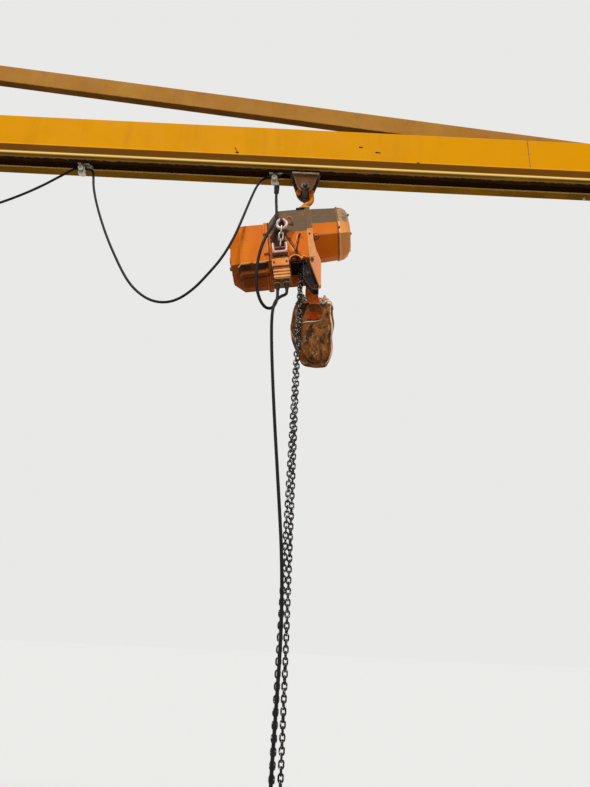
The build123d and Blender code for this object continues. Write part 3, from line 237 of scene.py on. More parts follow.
def painted(
    name, base, deep, rough=0.6, gloss=0.08, scale=1.0, dirt=(80, 55, 30), dirt_low=0.56, dirt_share=0.55,
    chip=None, chip_low=0.68, wear_and_highlight=None, wear_and_highlight_radius=0.006, dust_and_top_light=None, dust_and_top_light_from=0.25, underside_grime_and_shade=None,
    levels=(), columns=(), spots=(), bands=(), stains=(), strokes=(),
):
    """Old paint: tone that drifts, grime, chips, edges worn pale and painted as highlights, dust on what
    looks up with a pale top painted as light, undersides darkened by grime and painted shade, and levels and
    strokes that also hold painted shade and highlights.
    """
    s = Shader(name, base, rough, gloss=gloss)
    s.lay(s.span(s.noise(2.4 * scale, 6.0, 0.62), 0.36, 0.66), deep)
    s.lay(s.span(s.noise(9.0 * scale, 6.0, 0.65, stretch=(1.0, 1.0, 0.16)), 0.52, 0.78, 0.0, 0.28), dirt)
    s.lay(s.span(s.noise(7.0 * scale, 9.0, 0.72, warp=0.6), dirt_low, dirt_low + 0.2, 0.0, dirt_share), dirt)
    # Faces that look down are darkened: grime, and painted shade.
    if underside_grime_and_shade:
        s.lay(s.times(s.facing(-0.12, -0.5), s.span(s.noise(5.0 * scale, 5.0), 0.3, 0.7, 0.62, 0.95)), underside_grime_and_shade)
    for low, high, soft, share, paint in levels:
        s.lay(s.times(s.between(s.along(UP, (0, 0, 0)), low, high, soft), share), paint)
    for low, high, share, paint in columns:
        patchy_share = s.span(s.noise(30.0, 6.0, 0.7), 0.34, 0.56, 0.35 * share, share)
        s.lay(s.times(s.between(s.along(HUNG_RIGHT, PIN_PLACE), low, high, 0.001), patchy_share), paint)
    # Pale edges: real wear, and on the rail a painted highlight along its lip.
    if wear_and_highlight:
        patchy_share = s.times(s.edges(wear_and_highlight_radius), s.span(s.noise(26.0 * scale, 6.0, 0.7), 0.36, 0.56))
        s.lay(s.times(patchy_share, 0.85), wear_and_highlight)
    if chip:
        s.lay(s.span(s.noise(38.0 * scale, 6.0, 0.72), chip_low, chip_low + 0.02), chip)
    for place, radius, stretch in spots:
        s.lay(s.near(place, radius, 0.5, stretch), chip or dirt)
    for low, high, x_low, x_high, paint in bands:
        height = s.between(s.along(HUNG_UP, PIN_PLACE), low, high, 0.0015)
        inside = s.between(s.along(HUNG_RIGHT, PIN_PLACE), x_low, x_high, 0.004)
        s.lay(s.times(s.times(height, s.span(s.noise(34.0, 6.0, 0.7), 0.34, 0.42)), inside), paint)
    # Pale coat on faces that look up: dust, and on the cap painted light on its lit top.
    if dust_and_top_light:
        cover = s.span(s.noise(14.0 * scale, 8.0, 0.7), 0.22, 0.46, 0.6, 0.97)
        grain = s.mix(s.span(s.noise(48.0 * scale, 6.0), 0.4, 0.65), rgb(*dust_and_top_light), rgb(*DUST_AND_TOP_LIGHT_GRAIN))
        s.lay(s.times(s.facing(dust_and_top_light_from, dust_and_top_light_from + 0.14), cover), grain)
    for place, radius, stretch, share, paint in stains:
        s.lay(s.times(s.near(place, radius, 0.45, stretch), share), paint)
    for start, end, radius, share, paint in strokes:
        s.lay(s.times(s.stroke(start, end, radius), share), paint)
    roughness = s.span(s.noise(11.0 * scale, 6.0), 0.35, 0.7, rough - 0.06, rough + 0.14)
    s.keep(roughness, s.noise(150.0, 4.0, 0.6), 0.0004, 0.5)


def steel(name, base, deep, rough=0.35, metal=0.9, wear_and_highlight=None, painted_glints=None, gloss=0.5):
    """Bare or plated steel with stains, pale edges, and painted glints: small bright spots."""
    s = Shader(name, base, rough, metal, gloss)
    stain = s.span(s.noise(24.0, 8.0, 0.7), 0.42, 0.68)
    s.lay(stain, deep)
    # Pale edges: real wear, and on black_steel painted glints.
    if wear_and_highlight:
        s.lay(s.times(s.edges(0.003), s.span(s.noise(60.0, 5.0), 0.4, 0.6)), wear_and_highlight)
    # Small bright spots: painted glints.
    if painted_glints:
        s.lay(s.span(s.noise(150.0, 3.0, 0.55), 0.595, 0.625, 0.0, 0.95), painted_glints)
    s.keep(s.span(stain, 0.0, 1.0, rough, rough + 0.3), s.noise(220.0, 4.0), 0.0003, 0.4)


def moulded(name, base, deep, rough=0.5, dust_and_top_light=None, gloss=0.35):
    """Plastic or rubber with a fine grain."""
    s = Shader(name, base, rough, gloss=gloss)
    s.lay(s.span(s.noise(30.0, 7.0, 0.65), 0.4, 0.65), deep)
    if dust_and_top_light:
        s.lay(s.times(s.facing(0.1, 0.8), s.span(s.noise(40.0, 7.0, 0.7), 0.35, 0.6, 0.2, 0.8)), dust_and_top_light)
    s.keep(s.span(s.noise(60.0, 4.0), 0.3, 0.7, rough - 0.06, rough + 0.12), s.noise(900.0, 2.0), 0.0002, 0.3)


def fabric(name, base, deep, light, spot, scale=1.0, pale_from=0.55):
    """Heavy soiled cloth: blotches, rust spots, streaks down the folds and a coarse weave."""
    rough, weave_scale = 0.9, 620.0
    s = Shader(name, base, rough, gloss=0.15)
    s.lay(s.span(s.noise(26.0 * scale, 9.0, 0.74, (1.0, 1.0, 0.6), 0.8), 0.41, 0.58), deep)
    pale = s.noise(44.0 * scale, 8.0, 0.74, (1.0, 1.0, 0.45))
    s.lay(s.span(pale, pale_from, pale_from + 0.08, 0.0, 0.85), light)
    s.lay(s.span(s.noise(36.0 * scale, 7.0, 0.7, warp=1.2), 0.58, 0.63, 0.0, 0.9), spot)
    weave = s.node("TexVoronoi", "Distance", {"Vector": s.where, "Scale": weave_scale}, feature="F1")
    s.keep(rough, weave, 0.0007, 0.6)


def on_hoist(place):
    """Place given in the hoist's own frame, in metres."""
    return tuple(HUNG @ Vector(place))


# Chips on the rail's face: place, radius, stretch
RAIL_CHIPS = (
    ((3.060, -0.043, 3.912), 0.010, (1.0, 0.2, 1.8)),
    ((3.702, -0.043, 3.985), 0.012, (1.0, 0.2, 2.2)),
    ((3.790, -0.043, 3.956), 0.011, (0.8, 0.2, 2.2)),
    ((3.998, -0.043, 3.898), 0.009, (1.0, 0.2, 1.4)),
    ((1.420, -0.043, 3.940), 0.013, (1.0, 0.2, 2.0)),
)
# Strips across the gear cover: from and to height, from and to x, colour
COVER_BANDS = (
    (-0.4965, -0.4830, -0.348, -0.207, (58, 30, 14)),
    (-0.4802, -0.4773, -0.348, -0.207, (250, 214, 120)),
    (-0.5055, -0.5010, -0.344, -0.207, (224, 130, 62)),
    (-0.5175, -0.5150, -0.344, -0.207, (64, 30, 12)),
)
PLUG_PLACE = (0.029, -0.1165, -0.3565)
PLUG_WAY = (0, -0.39, -0.92)
# Stains in the hoist's frame: place, radius, stretch, share, colour
HOIST_STAINS = tuple((on_hoist(place), *rest) for place, *rest in (
    ((-0.146, -0.131, -0.350), 0.040, (1.05, 0.3, 0.62), 0.95, (36, 24, 17)),
    ((-0.165, -0.120, -0.285), 0.022, (0.8, 0.4, 1.0), 0.8, (66, 44, 30)),
    ((-0.146, -0.131, -0.410), 0.030, (0.75, 0.3, 0.9), 0.85, (74, 34, 16)),
    ((-0.080, -0.130, -0.452), 0.022, (0.7, 0.3, 0.8), 0.7, (120, 54, 16)),
    ((-0.092, -0.130, -0.340), 0.018, (1.0, 0.3, 0.5), 0.6, (104, 58, 28)),
    (PLUG_PLACE, 0.017, (1.0, 0.6, 1.0), 0.75, (120, 52, 14)),
    ((-0.300, -0.135, -0.525), 0.050, (0.6, 0.3, 1.3), 0.55, (92, 40, 14)),
))
PLUG_STAIN = HOIST_STAINS[5:6]
# Marks in the hoist's frame: from, to, radius, share, colour. The pale strokes are painted highlights beside
# the Y grooves; the dark Y lines are painted grooves holding dirt and painted shade; the dark line at x
# -0.197 is painted shade where the cover meets the casting; the rest are runs and scratches.
HOIST_STROKES = tuple((on_hoist(start), on_hoist(end), *rest) for start, end, *rest in (
    ((-0.115, -0.130, -0.352), (-0.078, -0.130, -0.434), 0.0042, 0.8, (250, 178, 84)),
    ((-0.057, -0.130, -0.344), (-0.079, -0.130, -0.420), 0.0036, 0.8, (246, 170, 80)),
    ((-0.110, -0.130, -0.352), (-0.072, -0.130, -0.434), 0.0066, 0.96, (70, 18, 9)),
    ((-0.048, -0.130, -0.342), (-0.072, -0.130, -0.434), 0.0064, 0.96, (76, 20, 9)),
    ((-0.072, -0.130, -0.430), (-0.068, -0.130, -0.478), 0.0080, 0.96, (64, 18, 9)),
    ((-0.197, -0.139, -0.240), (-0.197, -0.139, -0.540), 0.0030, 0.9, (60, 30, 16)),
    ((-0.216, -0.139, -0.300), (-0.218, -0.139, -0.470), 0.0030, 0.55, (170, 84, 24)),
    ((-0.245, -0.139, -0.500), (-0.250, -0.100, -0.545), 0.0060, 0.6, (70, 34, 14)),
    ((-0.330, -0.120, -0.505), (-0.330, -0.080, -0.545), 0.0050, 0.6, (64, 30, 14)),
    ((-0.290, -0.139, -0.497), (-0.292, -0.100, -0.545), 0.0035, 0.6, (196, 110, 50)),
))

# The rail's pale edge line is a painted highlight along its lip.
painted(
    "rail_yellow", (227, 155, 2), (222, 149, 2), 0.55, dirt=(156, 100, 5), dirt_low=0.66, chip=(70, 44, 14),
    chip_low=0.76, wear_and_highlight=(246, 212, 128), wear_and_highlight_radius=0.004, dust_and_top_light=(150, 128, 84), dust_and_top_light_from=0.6,
    underside_grime_and_shade=(104, 70, 16), scale=0.8, spots=RAIL_CHIPS, gloss=0.02,
    # Painted shade: a dark band over the flare above the lip. Painted highlight: a bright line along the
    # lip's outer edge.
    levels=((3.828, 3.892, 0.008, 0.97, (82, 48, 0)), (3.8125, 3.8215, 0.002, 0.9, (250, 220, 140))),
    # Painted shade: a dark strip under the near lip, beside the slot. Then a pale line along the lip's
    # underside, and a dark run down the face.
    strokes=(
        ((0.30, -0.0325, 3.810), (5.40, -0.0325, 3.810), 0.0185, 0.94, (22, 13, 7)),
        ((0.30, -0.0555, 3.810), (5.40, -0.0555, 3.810), 0.0040, 0.80, (172, 132, 88)),
        ((3.046, -0.043, 3.944), (3.060, -0.043, 3.916), 0.0030, 0.85, (60, 34, 10)),
    ),
)
painted(
    "tie_ochre", (180, 126, 48), (164, 110, 38), 0.7, dirt=(104, 70, 32), dust_and_top_light=(140, 122, 96), dust_and_top_light_from=0.55,
    underside_grime_and_shade=(88, 54, 10), wear_and_highlight=(214, 170, 100),
)
painted(
    "hoist_orange", (231, 126, 16), (212, 100, 10), dirt=(104, 50, 16), dirt_low=0.55, chip=(48, 28, 18),
    wear_and_highlight=(240, 178, 112), dust_and_top_light=(92, 78, 56), dust_and_top_light_from=0.22, underside_grime_and_shade=(116, 52, 12),
    bands=COVER_BANDS, stains=HOIST_STAINS, strokes=HOIST_STROKES,
    columns=((-0.0125, 0.0150, 0.75, (226, 168, 108)),),
)
painted(
    "motor_orange", (228, 124, 20), (212, 102, 12), dirt=(122, 58, 16), dirt_low=0.58, chip=(48, 28, 18),
    chip_low=0.70, wear_and_highlight=(240, 190, 140), dust_and_top_light=(92, 78, 56), dust_and_top_light_from=0.22, stains=PLUG_STAIN,
    columns=((0.1320, 0.1366, 0.8, (84, 44, 20)), (0.1415, 0.1460, 0.85, (248, 228, 200))),
)
# The cap's pale top is painted light, laid as its dust coat.
painted(
    "cap_orange", (244, 166, 90), (232, 142, 66), dirt=(140, 80, 36), chip=(48, 28, 18),
    chip_low=0.70, wear_and_highlight=(248, 214, 180), wear_and_highlight_radius=0.007, dust_and_top_light=(166, 138, 108),
)
painted(
    "ear_orange", (232, 160, 116), (222, 136, 84), 0.65, dirt=(150, 84, 44), wear_and_highlight=(248, 212, 178),
    wear_and_highlight_radius=0.004,
)
painted(
    "gland_orange", (250, 168, 84), (214, 118, 46), dirt=(56, 30, 18), dirt_low=0.52, dirt_share=0.8,
    wear_and_highlight=(246, 200, 160), wear_and_highlight_radius=0.004, underside_grime_and_shade=(60, 30, 16), scale=2.5,
)
painted(
    "rusty_steel", (122, 80, 48), (94, 60, 34), 0.7, dirt=(60, 44, 33), dirt_low=0.48, wear_and_highlight=(206, 164, 132),
    underside_grime_and_shade=(60, 46, 38), scale=2.0, levels=((3.600, 3.684, 0.003, 0.95, (14, 11, 10)),),
)
painted(
    "guide_black", (30, 26, 24), (20, 18, 17), dirt=(70, 46, 34), dirt_low=0.55, wear_and_highlight=(206, 170, 144),
    wear_and_highlight_radius=0.003, scale=2.5,
)
painted(
    "bow_steel", (186, 120, 92), (130, 76, 54), 0.5, dirt=(70, 40, 28), dirt_low=0.5, wear_and_highlight=(248, 222, 204),
    wear_and_highlight_radius=0.003, scale=3.0,
)
painted(
    "hook_orange", (246, 150, 44), (228, 112, 22), 0.55, dirt=(110, 56, 18), dirt_low=0.54,
    wear_and_highlight=(252, 206, 120), wear_and_highlight_radius=0.004, scale=2.5,
)
steel("worn_steel", (244, 228, 214), (168, 122, 98), 0.5, 0.1, wear_and_highlight=(252, 246, 240))
steel("dark_bolt", (74, 58, 46), (44, 34, 28), 0.55, 0.5, wear_and_highlight=(150, 130, 110))
steel("zinc_steel", (182, 178, 168), (112, 98, 84), 0.42, 0.7)
steel("bronze", (150, 112, 62), (110, 78, 42), 0.4)
# Black steel of the chain: its pale edges and bright spots are painted glints.
steel(
    "black_steel", (17, 16, 15), (13, 11, 9), 0.3, 0.1,
    wear_and_highlight=(216, 210, 200), painted_glints=(236, 232, 222), gloss=0.15,
)
moulded("black_plastic", (28, 28, 28), (44, 42, 40), dust_and_top_light=(110, 100, 88))
moulded("cream_nylon", (255, 252, 240), (238, 228, 202), 0.45)
moulded("cable_grey", (17, 17, 18), (27, 26, 25), dust_and_top_light=(44, 41, 37), gloss=0.14)
moulded("box_grey", (142, 144, 142), (120, 120, 116), dust_and_top_light=(160, 150, 132))
moulded("buffer_rubber", (26, 26, 26), (40, 40, 40), 0.8)
moulded("button_black", (30, 30, 30), (44, 44, 44), 0.35)
moulded("button_red", (176, 26, 22), (140, 20, 18), 0.35)
moulded("pale_tape", (232, 222, 204), (184, 160, 130), 0.7)
fabric("bag_fabric", (146, 90, 44), (46, 30, 18), (186, 142, 86), (170, 88, 34))
fabric("bag_cuff", (226, 168, 118), (44, 28, 18), (255, 248, 232), (240, 120, 40), 1.7, pale_from=0.47)
fabric("lash_orange", (252, 128, 50), (232, 96, 30), (255, 176, 104), (120, 48, 18), 1.6)
fabric("bag_webbing", (240, 210, 168), (190, 120, 72), (250, 236, 210), (226, 104, 40), 2.5)
fabric("patch_orange", (212, 82, 20), (160, 56, 14), (226, 130, 60), (120, 44, 16))

# Solids whose finish in the photograph isn't the plain one of their slot
FINISH = {
    "flange_ear": "ear_orange", "cable_glands": "gland_orange", "cable_bow": "bow_steel",
    "safety_ring": "worn_steel", "yoke_pin": "dark_bolt", "chain_guide": "guide_black",
}
# Width of the rounded edges of solids, in metres
SOFT_EDGES = {
    0.0050: ("gear_cover", "motor_end_cap"),
    0.0040: ("motor_housing",),
    0.0035: ("hoist_casting",),
    0.0030: ("overhead_tie",),
    0.0020: ("flange_ear", "chain_guide", "pendant_control"),
    0.0018: ("cable_glands",),
    0.0015: ("cable_bow", "hook_block", "base_gussets", "lower_bearing_bracket", "upper_bearing_bracket",
             "rail_root_plate", "rail_stops", "pendant_buttons"),
    0.0014: ("trolley_yoke",),
    0.0012: ("cable_anchor_box",),
    0.0010: ("yoke_pin", "bag_bracket", "trolley_block"),
    0.0006: ("cable_carrier", "tow_carrier"),
}
SLOTS = {part["node"]: part["material_slot"] for part in frame["record"]["subparts"]}


def soften(thing, width, limit):
    """Bevel on corners sharper than a limit in degrees."""
    bevel = thing.modifiers.new("bevel", "BEVEL")
    bevel.width = width
    bevel.segments = 2
    bevel.limit_method = "ANGLE"
    bevel.angle_limit = math.radians(limit)


def thicken(thing, depth):
    """Sheet made solid, away from its outer face."""
    solid = thing.modifiers.new("thick", "SOLIDIFY")
    solid.thickness = depth
    solid.offset = -1.0


def add_object(name, data):
    made = bpy.data.objects.new(name, data)
    bpy.context.scene.collection.objects.link(made)
    return made


def dress_frame():
    """Every solid takes the material of its slot or its finish; the solids in SOFT_EDGES get a small bevel on
    their edges.
    """
    for name, node in frame["nodes"].items():
        node.data.materials.clear()
        node.data.materials.append(MATERIALS[FINISH.get(name, SLOTS[name])])
    for width, names in SOFT_EDGES.items():
        for name in names:
            node = frame["nodes"][name]
            node.modifiers.new("weld", "WELD").merge_threshold = 0.00005
            soften(node, width, 32)


def circle(count, spin=0.0):
    """Cosine and sine at even steps round a turn."""
    return [(math.cos(a), math.sin(a)) for a in (spin + math.tau * j / count for j in range(count))]


class Shape:
    """Vertices and faces of one piece, put together from simple forms."""

    def __init__(self, place=None):
        self.place = place or Matrix.Identity(4)
        self.verts = []
        self.faces = []

    def rings(self, loops, closed=False, caps=True):
        """Skin over loops of equal length."""
        base = len(self.verts)
        count = len(loops[0])
        for loop in loops:
            self.verts += [self.place @ Vector(v) for v in loop]
        steps = len(loops) if closed else len(loops) - 1
        for i in range(steps):
            a = base + i * count
            b = base + (i + 1) % len(loops) * count
            for j in range(count):
                k = (j + 1) % count
                self.faces.append((a + j, a + k, b + k, b + j))
        if caps and not closed:
            self.faces.append(tuple(base + j for j in reversed(range(count))))
            self.faces.append(tuple(base + steps * count + j for j in range(count)))
        return self

    def sheet(self, rows):
        """Open sheet over rows of points."""
        width = len(rows[0])
        for row in rows:
            self.verts += row
        for i in range(len(rows) - 1):
            for a in range(i * width, (i + 1) * width - 1):
                self.faces.append((a, a + 1, a + width + 1, a + width))
        return self

    def tube(self, points, radius, sides=10, closed=False):
        """Round bar along points; radius is one number or one for each point."""
        points = [Vector(p) for p in points]
        radii = radius if hasattr(radius, "__len__") else [radius] * len(points)
        loops = []
        side = None
        for i, point in enumerate(points):
            if closed:
                ahead, behind = points[(i + 1) % len(points)], points[i - 1]
            else:
                ahead, behind = points[min(i + 1, len(points) - 1)], points[max(i - 1, 0)]
            along = (ahead - behind).normalized()
            if side is None:
                side = along.orthogonal()
            side = (side - along * side.dot(along)).normalized()
            over = along.cross(side)
            loops.append([point + radii[i] * (side * c + over * s) for c, s in circle(sides)])
        return self.rings(loops, closed)

    def turned(self, at, axis, profile, sides=24, spin=0.0):
        """Turned form: profile of (distance along the axis, radius)."""
        at = Vector(at)
        axis = Vector(axis).normalized()
        side = axis.orthogonal().normalized()
        over = axis.cross(side)
        return self.rings([
            [at + axis * along + radius * (side * c + over * s) for c, s in circle(sides, spin)]
            for along, radius in profile
        ])

    def box(self, x0, x1, y0, y1, z0, z1):
        return self.rings([[(x0, y, z0), (x1, y, z0), (x1, y, z1), (x0, y, z1)] for y in (y0, y1)])

    def hex_bolt(self, at, axis, across, height):
        """Hexagon head on a washer."""
        radius = across / 2 / math.cos(math.pi / 6)
        start = across * 0.12
        top = start + height
        self.turned(at, axis, [(-0.001, radius * 1.12), (start * 0.7, radius * 1.12), (start, radius * 1.05)])
        self.turned(
            at, axis, [(start - 0.0005, radius), (top - height * 0.12, radius), (top, radius * 0.88)], 6, 0.3,
        )

    def cap_screw(self, at, axis, dia, height):
        """Socket head with a recess."""
        r = dia / 2
        edge = [(-0.001, r), (height * 0.88, r), (height, r * 0.9)]
        self.turned(at, axis, edge + [(height, r * 0.5), (height * 0.45, r * 0.5)], 18)

    def piece(self, name, material, body="hoist", sharp=38.0, bevel=0.0):
        mesh = bpy.data.meshes.new(name)
        mesh.from_pydata([tuple(v) for v in self.verts], [], self.faces)
        outward = bmesh.new()
        outward.from_mesh(mesh)
        bmesh.ops.recalc_face_normals(outward, faces=outward.faces)
        outward.to_mesh(mesh)
        outward.free()
        for face in mesh.polygons:
            face.use_smooth = True
        mesh.set_sharp_from_angle(angle=math.radians(sharp))
        mesh.materials.append(MATERIALS[material])
        made = add_object(name, mesh)
        if bevel:
            soften(made, bevel, 40)
        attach(made, body)
        return made


def cubic(a, b, c, d, t):
    """Catmull-Rom value between b and c."""
    square = (2 * a - 5 * b + 4 * c - d) * t * t
    return 0.5 * (2 * b + (c - a) * t + square + (3 * b - a - 3 * c + d) * t * t * t)


def smooth_line(points, steps):
    """Smooth open line through points."""
    points = [Vector(p) for p in points]
    count = len(points)
    line = []
    for i in range(count - 1):
        around = [points[min(max(i + k - 1, 0), count - 1)] for k in range(4)]
        line += [cubic(*around, j / steps) for j in range(steps)]
    return line + points[-1:]


# Load chain
LINK_PITCH = 0.021
LINK_BAR = 0.0071
LINK_WIDTH = 0.024
FALL_TOP = 3.240
FALL_LOW = 0.900
FALLS = (
    ((3.420, -0.070, FALL_TOP), (3.4025, -0.0615, FALL_LOW)),
    ((3.420, -0.025, FALL_TOP), (3.4375, -0.0335, FALL_LOW)),
)
SLACK_RUN = ((3.452, 0.010, 3.200), (3.462, 0.030, 3.150), (3.478, 0.044, 3.095), (3.486, 0.048, 3.020))


def chain_link(
    shape, centre, along, across, pitch=LINK_PITCH, bar=LINK_BAR, width=LINK_WIDTH, turns=6, sides=8,
):
    """One oval link of round bar."""
    radius = (width - bar) / 2
    straight = (pitch + bar) / 2 - radius
    points = []
    for sign in (1, -1):
        for j in range(turns):
            a = math.pi * (j / (turns - 1) - 0.5)
            points.append(
                centre + sign * (along * (straight + radius * math.cos(a)) + across * radius * math.sin(a))
            )
    shape.tube(points, bar / 2, sides, closed=True)


def chain_run(shape, start, end, seed):
    """Links from one point towards another, each turned a quarter from the last."""
    rng = random.Random(seed)
    start, end = Vector(start), Vector(end)
    along = (end - start).normalized()
    side = along.orthogonal().normalized()
    over = along.cross(side)
    swing, drift_share, drift_limit, tip, first_turn = 0.12, 0.25, 0.5, 0.03, 0.785
    drift = 0.0
    for i in range(int((end - start).length / LINK_PITCH)):
        drift += rng.uniform(-swing, swing) * drift_share
        drift = max(-drift_limit, min(drift_limit, drift))
        turn = first_turn + drift + (math.pi / 2 if i % 2 else 0.0) + rng.uniform(-swing, swing)
        across = side * math.cos(turn) + over * math.sin(turn)
        lean = (along + across.cross(along) * rng.uniform(-tip, tip)).normalized()
        chain_link(shape, start + along * (LINK_PITCH * (i + 0.5)), lean, across)


def make_chain():
    """Both falls of the load chain, and the slack end that runs into the bag."""
    falls = Shape()
    for i, (top, bottom) in enumerate(FALLS):
        chain_run(falls, top, bottom, 11 + i)
    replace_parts(falls.piece("load_chain", "black_steel", sharp=60), "lifting_chain")
    slack = Shape()
    line = smooth_line(SLACK_RUN, 12)
    travelled = 0.0
    turn = 0
    for a, b in zip(line, line[1:]):
        travelled += (b - a).length
        if travelled >= LINK_PITCH * (turn + 0.5):
            along = (b - a).normalized()
            side = along.orthogonal().normalized()
            if turn % 2:
                side = along.cross(side)
            chain_link(slack, b, along, side)
            turn += 1
    slack.piece("slack_chain", "black_steel", sharp=60)


# Slack chain bag: outline seen from the front, as (height, left, right, depth), top to bottom
BAG_MIDDLE = (3.482, 0.048)
BAG_BULK = 0.72
BAG_LEVELS = (
    (3.098, 3.424, 3.566, 0.098),
    (3.086, 3.416, 3.572, 0.106),
    (3.060, 3.404, 3.576, 0.112),
    (3.020, 3.391, 3.578, 0.120),
    (2.975, 3.386, 3.580, 0.126),
    (2.930, 3.388, 3.582, 0.128),
    (2.880, 3.404, 3.584, 0.127),
    (2.835, 3.418, 3.583, 0.120),
    (2.800, 3.428, 3.578, 0.106),
    (2.777, 3.446, 3.566, 0.082),
    (2.766, 3.478, 3.544, 0.048),
)
# Strap that ties the mouth to the bracket, as (height, left, right, y), top to bottom
LASHING = (
    (3.152, 3.4545, 3.4920, -0.0062),
    (3.138, 3.4530, 3.4970, -0.0075),
    (3.122, 3.4550, 3.5010, -0.0085),
    (3.106, 3.4560, 3.5060, -0.0105),
    (3.092, 3.4570, 3.5090, -0.0150),
    (3.078, 3.4590, 3.5110, -0.0205),
    (3.064, 3.4600, 3.5110, -0.0235),
    (3.052, 3.4640, 3.5070, -0.0245),
)


def bag_point(level, turn, puff=0.0):
    """Point on the bag at a share of its levels, with folds that run down from the mouth."""
    last = len(BAG_LEVELS) - 1
    i = min(int(level * last), last - 1)
    rows = [BAG_LEVELS[min(max(i + k - 1, 0), last)] for k in range(4)]
    z, left, right, depth = (cubic(*column, level * last - i) for column in zip(*rows))
    x, y = (math.copysign(abs(share) ** BAG_BULK, share) for share in (math.cos(turn), math.sin(turn)))
    top = (1 - level) ** 1.5
    middle = math.sin(math.pi * level)
    folds = 0.0055 * math.sin(7 * turn + 1.1 + 2.4 * level) * (0.35 + 0.65 * top)
    folds += 0.0032 * math.sin(13 * turn - 3.1 * level + 0.6) * top
    sag = 0.006 * math.sin(5.0 * level + 2.2 * turn) * middle
    dents = 0.004 * math.sin(21 * level + 3 * turn) * middle ** 2
    half = (right - left) / 2
    swell = 1 + (folds + sag + dents + puff) / max(0.05, half)
    dip = 0.006 * math.cos(2 * turn) * top
    return Vector(((left + right) / 2 + x * half * swell, BAG_MIDDLE[1] + y * depth / 2 * swell, z + dip))


def bag_ring(level, count, puff=0.0):
    return [bag_point(level, math.tau * j / count, puff) for j in range(count)]


def make_bag():
    """The bag's skin with its inside, hem, cuff and corded edges."""
    around, levels, steps = 72, 64, 40
    outer = [bag_ring(i / levels, around) for i in range(levels + 1)]
    inner = [bag_ring(i / levels * 0.5, around, -0.004) for i in range(13)]
    bag = Shape().rings(inner[::-1] + outer).piece("slack_bag", "bag_fabric", sharp=75)
    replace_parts(bag, "chain_bag")
    hem = Shape().tube(bag_ring(0.004, around, 0.0006), 0.0038, 8, closed=True)
    hem.piece("bag_hem", "bag_webbing", sharp=70)
    turns = [math.tau * j / 96 for j in range(96)]
    cuff = Shape().rings([
        [bag_point(level, a, 0.0026 + 0.0012 * math.sin(9 * a)) for a in turns]
        for level in (0.002 + 0.17 * i / 6 for i in range(7))
    ], caps=False)
    thicken(cuff.piece("bag_cuff", "bag_cuff", sharp=80), 0.0026)
    right = [(0.02 + 0.93 * i / steps, -0.44 - 0.05 * math.sin(3 * i / steps)) for i in range(steps + 1)]
    left = [(0.02 + 0.93 * i / steps, math.pi + 0.2) for i in range(steps + 1)]
    for name, edge, radius in (("bag_seam_right", right, 0.0042), ("bag_seam_left", left, 0.0022)):
        seam = Shape().tube([bag_point(level, turn, 0.0012) for level, turn in edge], radius, 8)
        seam.piece(name, "bag_webbing", sharp=70)


def make_patch():
    """Stiff coloured panel sewn on the bag's front, just under the mouth."""
    rows, cols, steps = 14, 26, 40
    top, low = 0.302, 0.392
    first, last = math.radians(262), math.radians(286)
    turns = [first + (last - first) * j / cols for j in range(cols + 1)]
    panel = Shape().sheet([
        [bag_point(top + (low - top) * i / rows, turn, 0.0032) for turn in turns] for i in range(rows + 1)
    ])
    thicken(panel.piece("bag_patch", "patch_orange", sharp=80), 0.0022)
    edge = [
        bag_point(low + 0.052 - 0.044 * j / steps, first - 0.17 + (last - first + 0.19) * j / steps, 0.0024)
        for j in range(steps + 1)
    ]
    Shape().tube(edge, 0.0026, 8).piece("patch_edging", "pale_tape", sharp=70)


def make_lashing():
    """Crumpled strap that ties the bag's mouth to its bracket."""
    cols = 14
    rows = []
    for i, (z, left, right, y) in enumerate(LASHING):
        row = []
        for t in (j / cols for j in range(cols + 1)):
            crease = 0.0011 * math.sin(2.1 * i + 9.0 * t) + 0.0007 * math.sin(17.0 * t - 1.3 * i)
            sag = 0.004 * math.sin(math.pi * t + 0.5)
            row.append(Vector((left + (right - left) * t, y + crease, z - sag)))
        rows.append(row)
    made = Shape().sheet(rows).piece("bag_lashing", "lash_orange", sharp=80)
    thicken(made, 0.0028)
    smooth = made.modifiers.new("smooth", "SUBSURF")
    smooth.levels = smooth.render_levels = 1


def make_bag_hardware():
    """Eyelets and straps between the bag's mouth and its bar."""
    metal, straps = Shape(), Shape()
    for turn in (225, 300, 45, 130):
        low = bag_point(0.05, math.radians(turn), 0.002)
        outward = (low - Vector((*BAG_MIDDLE, low.z))).normalized()
        side = outward.cross(Vector(UP))
        middle = low + Vector((0, 0, 0.010))
        loop = [middle + side * 0.010 * c + Vector((0, 0, 0.013)) * s for c, s in circle(16)]
        metal.tube(loop, 0.0022, 8, closed=True)
        eyelet = [(-0.001, 0.011), (0.003, 0.011), (0.004, 0.008), (0.001, 0.006)]
        metal.turned(low - outward * 0.002, outward, eyelet, 20)
        top = Vector((max(3.434, min(3.544, low.x)), max(0.0, min(0.082, low.y)), 3.100))
        straps.tube([low + Vector((0, 0, 0.020)), (low + top) / 2 + Vector((0, 0, 0.012)), top], 0.0045, 8)
    metal.piece("bag_eyelets", "zinc_steel", sharp=50)
    straps.piece("bag_straps", "bag_webbing", sharp=50)


def mesh_of(name, points, dia=0.0):
    """Mesh tube along a smooth curve with these control points, or a bare line with no diameter."""
    data = bpy.data.curves.new(name + "_curve", "CURVE")
    data.dimensions = "3D"
    data.resolution_u = 10
    data.bevel_depth = dia / 2
    data.bevel_resolution = 4
    data.use_fill_caps = True
    spline = data.splines.new("NURBS")
    spline.points.add(len(points) - 1)
    for point, place in zip(spline.points, points):
        point.co = (*place, 1.0)
    spline.order_u = 3
    spline.use_endpoint_u = True
    curve = add_object(name + "_curve", data)
    mesh = bpy.data.meshes.new_from_object(curve)
    bpy.data.objects.remove(curve)
    mesh.name = name
    return mesh


